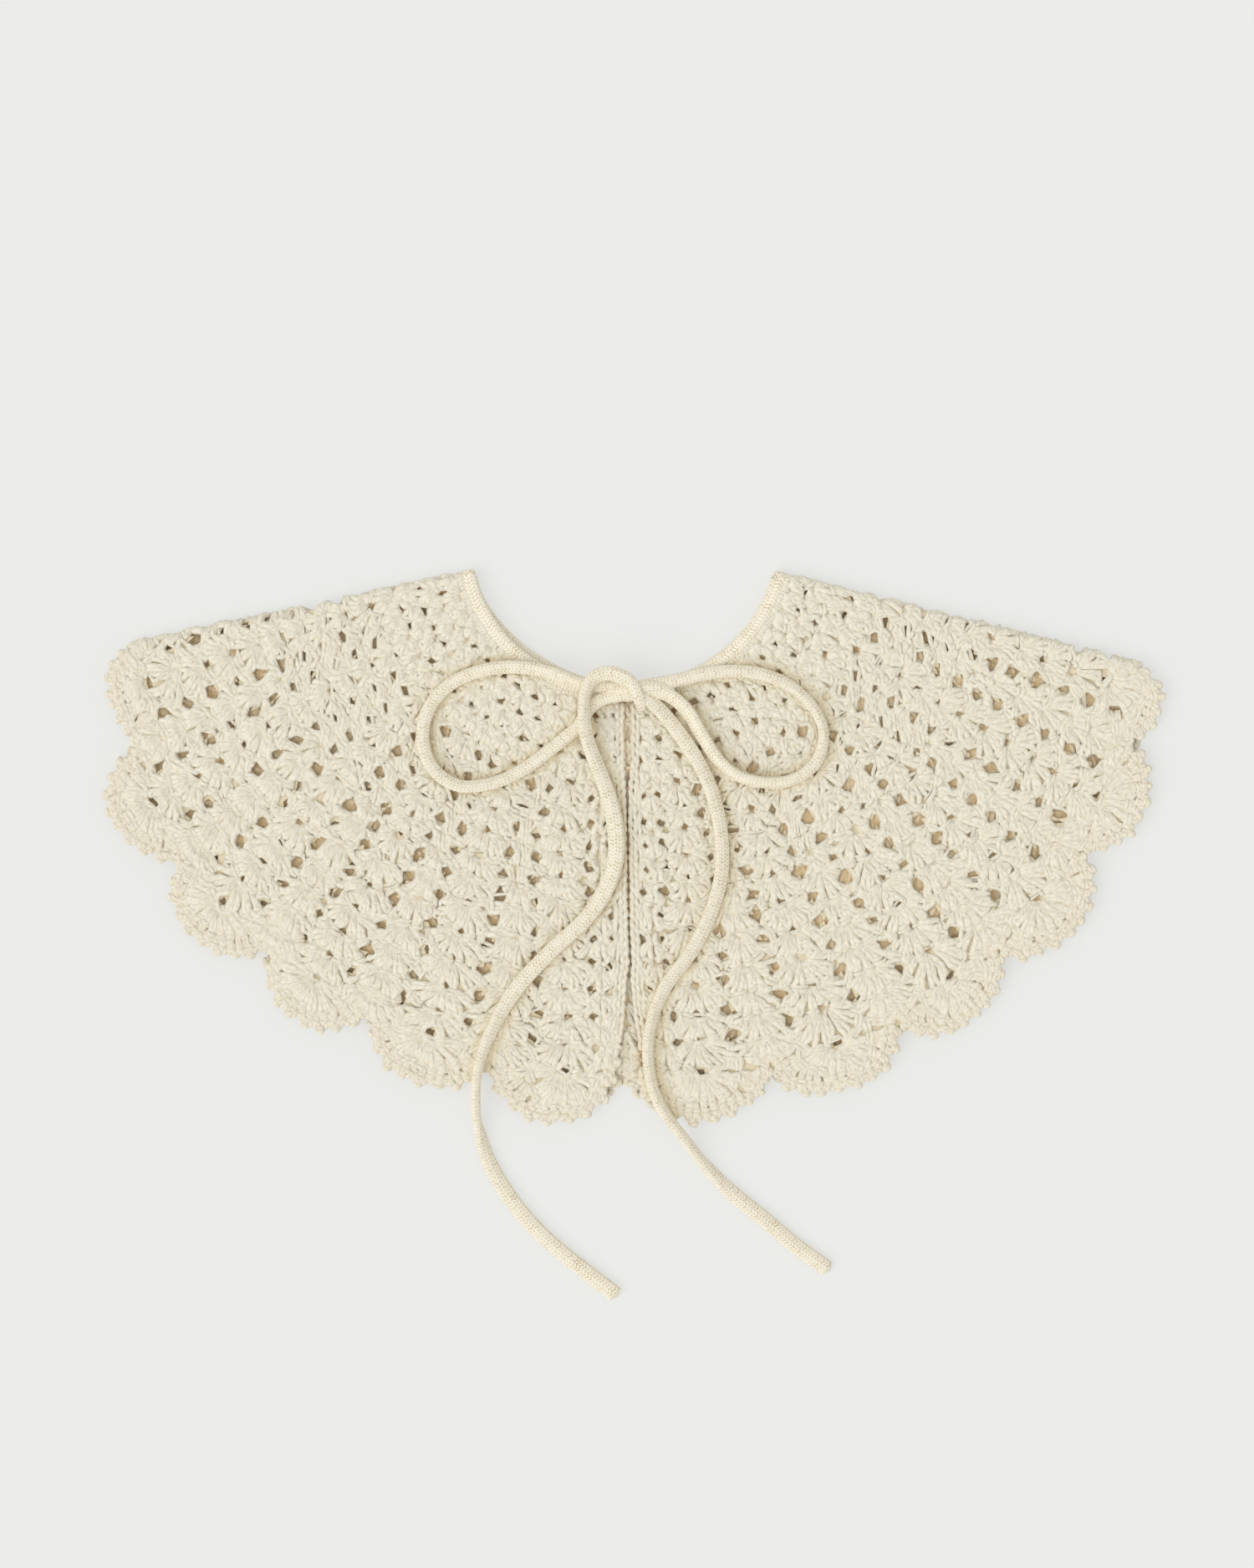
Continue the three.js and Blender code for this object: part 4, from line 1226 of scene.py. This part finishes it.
def neck_rows(layer, neck, first_angle, last_angle):
    """The close rows between the binding and the shells: small clusters of posts, set between those below."""
    for row, (low, high) in enumerate(zip(NECK_ROWS, NECK_ROWS[1:])):
        pitch = math.degrees(NECK_PITCH / ((low + high) / 2))
        angle = first_angle + (pitch / 2 if row % 2 else 0.0)
        while angle < last_angle:
            base = max(low, table_at(neck, angle) + BINDING_WIDTH + 1.2) if row == 0 else low
            half = NECK_PITCH / 2 + 0.3
            layer.fan(angle + jitter(0.4), base + jitter(0.3), 4, half, half, high - base + 0.4, spread=74.0)
            angle += pitch * (1 + jitter(0.06))
    for angle in range(int(first_angle), int(last_angle), 2):
        low = table_at(neck, angle) + BINDING_WIDTH
        base = polar(angle + jitter(0.5), low - 2.2)
        layer.short_post(base, polar(angle + jitter(0.5), low + 2.8), 1.15, 1.5)


def shell_columns():
    """The front's columns of shells, the ladders between them and the last big shells at the hem."""
    for number, (angles, last) in enumerate(SHELL_COLUMNS):
        around = FOLD_LADDERS[:1] + LADDERS[:5] + [None] + LADDERS[5:] + FOLD_LADDERS[1:]
        beside = {-1: around[number], 1: around[number + 1]}
        rows = [row for row in SHELL_ROWS if row < last - 8.0]
        for k, row in enumerate(rows):
            angle = column_angle(angles, row)
            top = rows[k + 1] if k + 1 < len(rows) else last
            tall = top - row + 0.6
            wides = []
            for side in (-1, 1):
                ladder = beside[side]
                if ladder is None:
                    gap = abs(angle) - table_at(EDGE_OUTER[-side], row)
                else:
                    eyelets = ladder_angles(ladder, row + 6)
                    gap = abs(angle - (eyelets[1] if side < 0 else eyelets[0]))
                wides.append(max(5.5, millimetres(gap, row + 5) + 0.2))
            posts = 5 if row < 185 else 7
            if sum(wides) > 23 and row < 185:
                posts = 6
            front.fan(angle + jitter(0.3), row + jitter(0.3), posts, wides[0], wides[1], tall)
        angle = column_angle(angles, last)
        a = math.radians(angle)
        bx, by = polar(angle, last)

        def to_hem(phi, angle=angle, last=last):
            distance = 4.0
            while distance < 17.0:
                dx = math.sin(math.radians(phi)) * distance
                dy = math.cos(math.radians(phi)) * distance
                x = bx + math.cos(a) * dx + math.sin(a) * dy
                y = by + math.sin(a) * dx - math.cos(a) * dy
                away = math.hypot(x - CENTER_X, y - CENTER_Y)
                if away > front_hem_radius(angle_of(x, y)) - 8.6:
                    break
                distance += 0.5
            return distance

        front.fan(angle, last, 12, 16.0, 16.0, 17.0, spread=100.0, reach_at=to_hem)


def ladders(layer, eyelet_pairs):
    """Single posts between the paired eyelets, which widen into columns of shells towards the hem."""
    for ladder in eyelet_pairs:
        rows = [row for row in SHELL_ROWS if row < 170] + [BETWEEN_ROWS[0]]
        for low, high in zip(rows, rows[1:]):
            left, right = ladder_angles(ladder, low)
            middle = (left + right) / 2
            half = millimetres((right - left) / 2, (low + high) / 2) + 1.4
            centre = millimetres(middle, (low + high) / 2)
            layer.posts_between(centre - half, centre + half, low, high)
            for side in (-1, 1):
                edge = millimetres(abs(right - left) / 2, high)
                near = middle + side * math.degrees(1.6 / high)
                far = middle + side * math.degrees((edge + 4.6) / high)
                line = [polar(lerp(near, far, t / 4), high - 0.4) for t in range(5)]
                layer.chain(line if side > 0 else line[::-1], pitch=3.6, height=0.1, thick=1.4, gap=1.3)
        for k, row in enumerate(BETWEEN_ROWS):
            left, right = ladder_angles(ladder, row + 4)
            middle = (left + right) / 2
            top = BETWEEN_ROWS[k + 1] if k + 1 < len(BETWEEN_ROWS) else 256.0
            top = min(top, (front_hem_radius if layer is front else back_hem_radius)(middle) - 6.0)
            if top - row < 4.0:
                continue
            wide = millimetres((right - left) / 2, row) + (2.6 if row < 180 else 3.4)
            layer.fan(middle, row, 5 if row < 180 else 7, wide, wide, top - row + 0.6)


def edge_ladders():
    """Plain posts and eyelets between the first shells and the bands of the opening."""
    rows = list(SHELL_ROWS) + [LAST_ROW]
    for side in (-1, 1):
        for low, high in zip(rows, rows[1:]):
            middle = (low + high) / 2
            left, right = opening_edges(middle)
            band = (CENTER_X - left if side < 0 else right - CENTER_X) + BAND_WIDTH
            outer = millimetres(table_at(EDGE_OUTER[side], middle), middle)
            inner = millimetres(table_at(EDGE_INNER[side], middle), middle)
            if inner - band < 1.5:
                inner = band + 0.4
            half = (outer - inner) / 2 + 0.9
            angle = side * math.degrees((inner + outer) / 2 / middle)
            front.fan(angle + jitter(0.1), low + jitter(0.3), 4, half, half, high - low + 0.8, spread=62.0)
            front.posts_between(side * (band - 0.2), side * (inner + 0.9), low - 0.6, high + 0.6)


def clear_of_shells(x, y, shells):
    """Whether a place near the hem is left open by the last shells, given as x, y and reach."""
    return all(math.hypot(x - sx, y - sy) > reach for sx, sy, reach in shells)


def hem_edging(layer, into, radius_at, spans, shells):
    """Rows of V's along the hem and a row of small picot loops outside them."""
    outside = Layer(layer.place, layer.per_post, layer.keep)
    outside.posts = into
    outside.heads = into
    inside = Layer(
        layer.place, layer.per_post, lambda x, y: layer.keep(x, y) and clear_of_shells(x, y, shells),
    )
    inside.heads = into
    inside.posts = into
    for from_angle, to_angle, picots in spans:
        tops = hem_line(radius_at, from_angle, to_angle, 5.0, 60)
        bases = hem_line(radius_at, from_angle, to_angle, 9.6, 60)
        depths = hem_line(radius_at, from_angle, to_angle, 15.0, 60)
        total = sum(math.dist(a, b) for a, b in zip(tops, tops[1:]))
        count = max(2, round(total / 4.1))
        for k in range(count):
            j = min(int((k + 0.5 + jitter(0.15)) / count * 60), 59)
            lean = (tops[j + 1][0] - tops[j][0], tops[j + 1][1] - tops[j][1])
            slant = jitter(1.3) / (math.hypot(*lean) or 1.0)
            base = (bases[j][0] + lean[0] * slant, bases[j][1] + lean[1] * slant)
            outside.short_post(base, tops[j])
            inside.short_post(depths[j], (lerp(base[0], tops[j][0], 0.2), lerp(base[1], tops[j][1], 0.2)))
        outside.chain(tops, pitch=4.1, height=0.3, thick=1.35, gap=1.0)
        notch = polar(to_angle, radius_at(to_angle))
        for posts, near, far in ((6, 0.8, 5.2), (9, 4.0, 8.8), (11, 7.6, 12.8)):
            for k in range(posts):
                turn = math.radians(to_angle + lerp(-66, 66, k / (posts - 1)) + jitter(5))
                way = (-math.sin(turn), math.cos(turn))
                ends = [(notch[0] + way[0] * away, notch[1] + way[1] * away) for away in (far, near)]
                inside.short_post(*ends)
        outer = hem_line(radius_at, from_angle, to_angle, 1.9, 60)
        inner = hem_line(radius_at, from_angle, to_angle, 4.4, 60)
        for k in range(picots):
            centre = (k + 0.5 + jitter(0.1)) / picots * 60
            half = 60 / picots * (0.22 + jitter(0.04))
            tall = 1.05 + jitter(0.25)
            for t, rise, turned in ((-1.0, 0.42, 66), (0.0, 1.05, 0), (1.0, 0.42, -66)):
                spot = clamp(centre + t * half, 0, 59.99)
                j = int(spot)
                x0, y0 = (lerp(inner[j][c], inner[j + 1][c], spot - j) for c in (0, 1))
                x1, y1 = (lerp(outer[j][c], outer[j + 1][c], spot - j) for c in (0, 1))
                size = math.hypot(x1 - x0, y1 - y0) or 1.0
                outward = ((x1 - x0) / size, (y1 - y0) / size)
                turn = math.radians(turned + jitter(16))
                tangent = (-outward[1], outward[0])
                leg = (
                    tangent[0] * math.cos(turn) + outward[0] * math.sin(turn),
                    tangent[1] * math.cos(turn) + outward[1] * math.sin(turn),
                )
                away = rise * tall + jitter(0.1)
                outside.head(
                    lerp(x0, x1, away), lerp(y0, y1, away), leg, (leg[1], -leg[0]), 3.8, 0.3, 1.3, 0.85,
                )


neck_rows(front, FRONT_NECK, -78.0, 78.0)
shell_columns()
ladders(front, LADDERS)
edge_ladders()
ladders(front, FOLD_LADDERS)
front_edging = Strands()
scallop_spans = [(-79.5, LEFT_START[0], 3)]
start = LEFT_START[0]
for to_angle, tip, notch in LEFT_SCALLOPS:
    scallop_spans.append((start, to_angle, 8 if start < -74 else 10))
    start = to_angle
start = RIGHT_START[0]
for to_angle, tip, notch in RIGHT_SCALLOPS:
    scallop_spans.append((start, to_angle, 7 if to_angle > 73 else 10))
    start = to_angle
scallop_spans.append((start, 78.0, 3))
last_shells = [polar(column_angle(angles, last), last) + (12.5,) for angles, last in SHELL_COLUMNS]
last_shells += [
    polar(sum(ladder_angles(ladder, 240)) / 2, BETWEEN_ROWS[-2]) + (10.0,)
    for ladder in LADDERS + FOLD_LADDERS
]
hem_edging(front, front_edging, front_hem_radius, scallop_spans, last_shells)

# The back layer, right side down
neck_rows(back, BACK_NECK, -70.0, 70.0)
BACK_LADDERS = [
    ((a + b) / 2 - 2.0, (a + b) / 2 + 2.0, (a + b) / 2 - 2.9, (a + b) / 2 + 2.9)
    for a, b in zip(BACK_COLUMNS, BACK_COLUMNS[1:])
]
for angle in BACK_COLUMNS:
    last = back_last_row(angle)
    rows = [row for row in SHELL_ROWS if row < last - 8.0] + [last]
    for low, high in zip(rows, rows[1:]):
        wide = millimetres(4.3 if low < 170 else 3.6, low + 4) - 1.2
        back.fan(angle, low, 5 if low < 185 else 7, wide, wide, high - low + 0.6)
    tall = back_hem_radius(angle) - last - 8.0
    back.fan(angle, last, 10, 15.0, 15.0, max(tall, 5.0), spread=96.0)
ladders(back, BACK_LADDERS)
back_edging = Strands()
scallop_spans = []
start = LEFT_START[0]
for to_angle, tip, notch in BACK_SCALLOPS:
    scallop_spans.append((start, to_angle, 10))
    start = to_angle
last_shells = [polar(angle, back_last_row(angle)) + (14.0,) for angle in BACK_COLUMNS]
hem_edging(back, back_edging, back_hem_radius, scallop_spans, last_shells)

shell_pieces = [
    yarn_piece("shell_posts_front_left", front.posts.part(-1), ivory, 6),
    yarn_piece("shell_posts_front_right", front.posts.part(1), ivory, 6),
    yarn_piece("stitch_heads_front_left", front.heads.part(-1), ivory, 5),
    yarn_piece("stitch_heads_front_right", front.heads.part(1), ivory, 5),
    yarn_piece("post_wraps_front", front.wraps, ivory, 5),
    yarn_piece("shell_posts_back", back.posts, ivory_back, 5),
    yarn_piece("stitch_heads_back", back.heads, ivory_back, 5),
]
edging_piece = yarn_piece("picot_edging_front", front_edging, edging, 5)
edging_back = yarn_piece("picot_edging_back", back_edging, edging, 5)


# The bands of the opening: two even ribs of yarn side by side
def band_piece(name, side, end):
    strands = Strands()
    steps = round((end - BAND_TOP) / 1.1)
    for inset in (1.2, 3.2):
        points = []
        radii = []
        for k in range(steps + 1):
            down = lerp(BAND_TOP, end, k / steps)
            wave = 2 * math.pi * (k * 1.1 + inset) / 4.3
            drift = noise.noise(Vector((down / 9, inset, side * 5.0)))
            across = inset + 0.24 * math.sin(wave) + 0.5 * drift + jitter(0.1)
            edges = opening_edges(down)
            x = edges[0] - across if side < 0 else edges[1] + across
            points.append((x, CENTER_Y - down, FRONT_MIDDLE + 0.2 + 0.16 * math.cos(wave) + jitter(0.06)))
            radii.append(1.3 + 0.14 * math.cos(wave) + jitter(0.07))
        radii[0] = radii[-1] = 0.7
        strands.add(points, radii)
    return yarn_piece(name, strands, ivory, 6)


band_left = band_piece("front_band_left_stitches", -1, LEFT_BAND_END)
band_right = band_piece("front_band_right_stitches", 1, RIGHT_BAND_END)


# The knitted binding round the neckline: a flat tube right round both layers and both folds
def binding_section(across, sides=16):
    """Rounded flat section, as distances from the middle of the binding and of the layer."""
    section = []
    for j in range(sides):
        turn = 2 * math.pi * (j + 0.5) / sides
        x = math.copysign(abs(math.cos(turn)) ** 0.7, math.cos(turn)) * across / 2
        y = math.copysign(abs(math.sin(turn)) ** 0.8, math.sin(turn)) * 1.65
        section.append((x * (1 + 0.03 * math.cos(turn * 8)), y))
    return section


def binding_piece():
    section = binding_section(BINDING_WIDTH)
    sides = len(section)
    stations = []
    left_edge = math.degrees(0.4 / 78)
    right_edge = math.degrees(2.6 / 78)
    middle_inset = BINDING_WIDTH / 2
    radius = NECK_RADIUS + middle_inset
    last_front = [fold_angle(side, radius, ROLL_OUTER) for side in (0, 1)]
    step = 1.6
    angle = right_edge
    while angle < last_front[1]:
        stations.append(("front", angle))
        angle += step
    stations += [("right", ROLL_OUTER - k * math.pi * ROLL_MIDDLE / 6) for k in range(7)]
    angle = last_front[1] - step
    while angle > last_front[0]:
        stations.append(("back", angle))
        angle -= step
    stations += [("left", ROLL_OUTER - (6 - k) * math.pi * ROLL_MIDDLE / 6) for k in range(7)]
    angle = last_front[0] + step
    while angle < -left_edge:
        stations.append(("front", angle))
        angle += step
    vertices = []
    uvs_along = []
    walked = 0.0
    before = None
    for kind, value in stations:
        ring = []
        for x, y in section:
            if kind in ("front", "back"):
                table = FRONT_NECK if kind == "front" else BACK_NECK
                flat = polar(value, table_at(table, value) + middle_inset + x)
                place = front_place if kind == "front" else back_place
                ring.append(Vector(place(flat[0], flat[1], y)))
            else:
                neck, along, inwards = FOLDS[0 if kind == "left" else 1]
                flat = neck + along * (middle_inset + x) + inwards * value
                ring.append(Vector(front_place(flat.x, flat.y, y)))
        centre = sum(ring, Vector()) / sides
        walked += 0.0 if before is None else (centre - before).length
        before = centre
        vertices += ring
        uvs_along.append(walked / STITCH_PITCH)
    faces = []
    uvs = []
    for k in range(len(stations) - 1):
        for j in range(sides):
            n = (j + 1) % sides
            faces.append((k * sides + j, k * sides + n, (k + 1) * sides + n, (k + 1) * sides + j))
            u0 = BINDING_WALES * (j + 0.5) / sides
            u1 = BINDING_WALES * (j + 1.5) / sides
            low, high = uvs_along[k], uvs_along[k + 1]
            uvs.append(((u0, low), (u1, low), (u1, high), (u0, high)))
    last = (len(stations) - 1) * sides
    faces.append(tuple(reversed(range(sides))))
    faces.append(tuple(range(last, last + sides)))
    uvs += [((0.0, 0.0),) * sides] * 2
    return tube_piece("neck_binding_knit", [(vertices, faces, uvs)])


binding = binding_piece()


# The dense middle of the fabric, seen only between the strands, in tones of painted shade: one sheet from the
# opening round both folds
CORE_HEIGHT = -0.2
DIMPLE_DEPTH = 1.3
DIMPLE_REACH = 3.4


def dimple_at(x, y):
    """How deep the dimple at the foot of a shell is, from 0 beside it to 1 in its middle."""
    dip = 0.0
    for hole in HOLES.get((int(x // HOLE_CELL), int(y // HOLE_CELL)), ()):
        if hole[4] < LARGE_HOLE:
            dip = max(dip, 1 - math.hypot(x - hole[0], y - hole[1]) / DIMPLE_REACH)
    return dip


def fabric_core():
    columns = []
    roll_steps = 6
    front_steps = 70
    back_steps = 70
    for k in range(front_steps + 1):
        columns.append(("front_right", k / front_steps))
    for k in range(1, roll_steps):
        columns.append(("roll_right", k / roll_steps))
    for k in range(back_steps + 1):
        columns.append(("back", k / back_steps))
    for k in range(1, roll_steps):
        columns.append(("roll_left", 1 - k / roll_steps))
    for k in range(front_steps + 1):
        columns.append(("front_left", k / front_steps))
    rows = 80
    vertices = []
    flats = []
    dimples = {}
    for v in range(rows + 1):
        for kind, share in columns:
            side = 0 if kind.endswith("left") else 1
            neck_out = 78.0
            if kind in ("front_right", "front_left"):
                radius = 240.0
                for turn in range(4):
                    edge = fold_angle(side, radius, ROLL_OUTER)
                    left, right = opening_edges(radius)
                    near = math.degrees(((right + 3.5) if side else (left - 3.5)) - CENTER_X) / radius
                    angle = lerp(near, edge, share) if side else lerp(edge, near, share)
                    if turn == 2:
                        radius = lerp(neck_out, radius, v / rows)
                    elif turn < 2:
                        radius = front_hem_radius(angle) - 4.5
                flat = polar(angle, radius)
                dip = dimple_at(*flat)
                dimples[len(vertices)] = dip
                vertices.append(front_place(flat[0], flat[1], CORE_HEIGHT - DIMPLE_DEPTH * dip))
                flats.append((flat, 1))
            elif kind == "back":
                radius = 240.0
                for turn in range(4):
                    ends = fold_angle(1, radius, ROLL_OUTER), fold_angle(0, radius, ROLL_OUTER)
                    angle = lerp(ends[0], ends[1], share)
                    if turn == 2:
                        radius = lerp(neck_out, radius, v / rows)
                    elif turn < 2:
                        radius = back_hem_radius(angle) - 4.5
                flat = polar(angle, radius)
                left, right = opening_edges(CENTER_Y - flat[1])
                # The back's core takes the lighter painted shade where it shows and the darker where the
                # front covers it.
                shows = left - 3 < flat[0] < right + 3 or radius > front_hem_radius(angle) - 6
                vertices.append(back_place(flat[0], flat[1], 0.3 if shows else -1.1))
                flats.append((flat, 2 if shows else 0))
            else:
                end = RIGHT_FOLD["hem_radius"] if side else LEFT_FOLD["hem_radius"]
                radius = lerp(neck_out, end - 4.5, v / rows)
                neck, along, inwards = FOLDS[side]
                inside = ROLL_OUTER - share * math.pi * ROLL_MIDDLE
                flat = neck + along * (radius - NECK_RADIUS) + inwards * inside
                vertices.append(front_place(flat.x, flat.y, CORE_HEIGHT))
                flats.append(((flat.x, flat.y), 1))
    wide = len(columns)
    faces = []
    inner_faces = []
    for v in range(rows):
        for k in range(wide - 1):
            corners = (v * wide + k, v * wide + k + 1, (v + 1) * wide + k + 1, (v + 1) * wide + k)
            on_front = all(flats[c][1] == 1 for c in corners)
            if on_front:
                x = sum(flats[c][0][0] for c in corners) / 4
                y = sum(flats[c][0][1] for c in corners) / 4
                if in_large_hole(x, y, 0.2):
                    continue
            faces.append(corners)
            inner_faces.append(0 if on_front else max(1, min(flats[c][1] for c in corners)))
    mesh = bpy.data.meshes.new("fabric_core")
    mesh.from_pydata([tuple(c * MM for c in point) for point in vertices], [], faces)
    mesh.polygons.foreach_set("use_smooth", [True] * len(mesh.polygons))
    mesh.materials.append(front_inside)
    mesh.materials.append(back_inside)
    mesh.materials.append(back_shown)
    mesh.polygons.foreach_set("material_index", inner_faces)
    # Painted shade in the dimples at the feet of the shells.
    dimple_shade = [clamp(1.7 * dimples.get(k, 0.0) - 0.1) for k in range(len(vertices))]
    mesh.attributes.new("dimple", "FLOAT", "POINT").data.foreach_set("value", dimple_shade)
    return object_from("fabric_core", mesh)


core = fabric_core()

# Lights: a large soft key from the lower left, and an even pale room
floor_mesh = bpy.data.meshes.new("floor")
floor_mesh.from_pydata([(-20, -20, 0), (20, -20, 0), (20, 20, 0), (-20, 20, 0)], [], [(0, 1, 2, 3)])
floor = object_from("floor", floor_mesh)
floor_paint = bpy.data.materials.new("pale_floor")
floor_paint.use_nodes = True
socket(floor_paint.node_tree.nodes["Principled BSDF"], "Base Color", (0.30, 0.30, 0.29, 1))
socket(floor_paint.node_tree.nodes["Principled BSDF"], "Emission Color", (1.0, 1.005, 0.985, 1))
socket(floor_paint.node_tree.nodes["Principled BSDF"], "Emission Strength", 0.53)
socket(floor_paint.node_tree.nodes["Principled BSDF"], "Roughness", 1.0)
socket(floor_paint.node_tree.nodes["Principled BSDF"], "Specular IOR Level", 0.0)
floor_mesh.materials.append(floor_paint)

world = bpy.data.worlds.new("pale_room")
world.use_nodes = True
world.node_tree.nodes["Background"].inputs["Color"].default_value = (1.0, 1.0, 1.0, 1)
world.node_tree.nodes["Background"].inputs["Strength"].default_value = 0.76
scene.world = world

key_data = bpy.data.lights.new("key", "SUN")
key_data.energy = 1.1
key_data.angle = math.radians(50)
key = object_from("key", key_data)
key.rotation_euler = Vector((0.75, 0.45, -1.0)).to_track_quat("-Z", "Y").to_euler()

# Every piece hangs from the root body, and the part's meshes that they stand for are hidden
all_pieces = shell_pieces + [edging_piece, edging_back, band_left, band_right, binding, core, knot_piece]
all_pieces += [piece for piece, path, length in cords.values()]
for piece in all_pieces:
    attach(piece, "root")
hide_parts("crochet_body")
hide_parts("picot_edging")
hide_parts("front_band_left")
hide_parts("front_band_right")
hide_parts("neck_binding")
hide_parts("bow_knot")
for name, (piece, path, length) in cords.items():
    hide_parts(name)
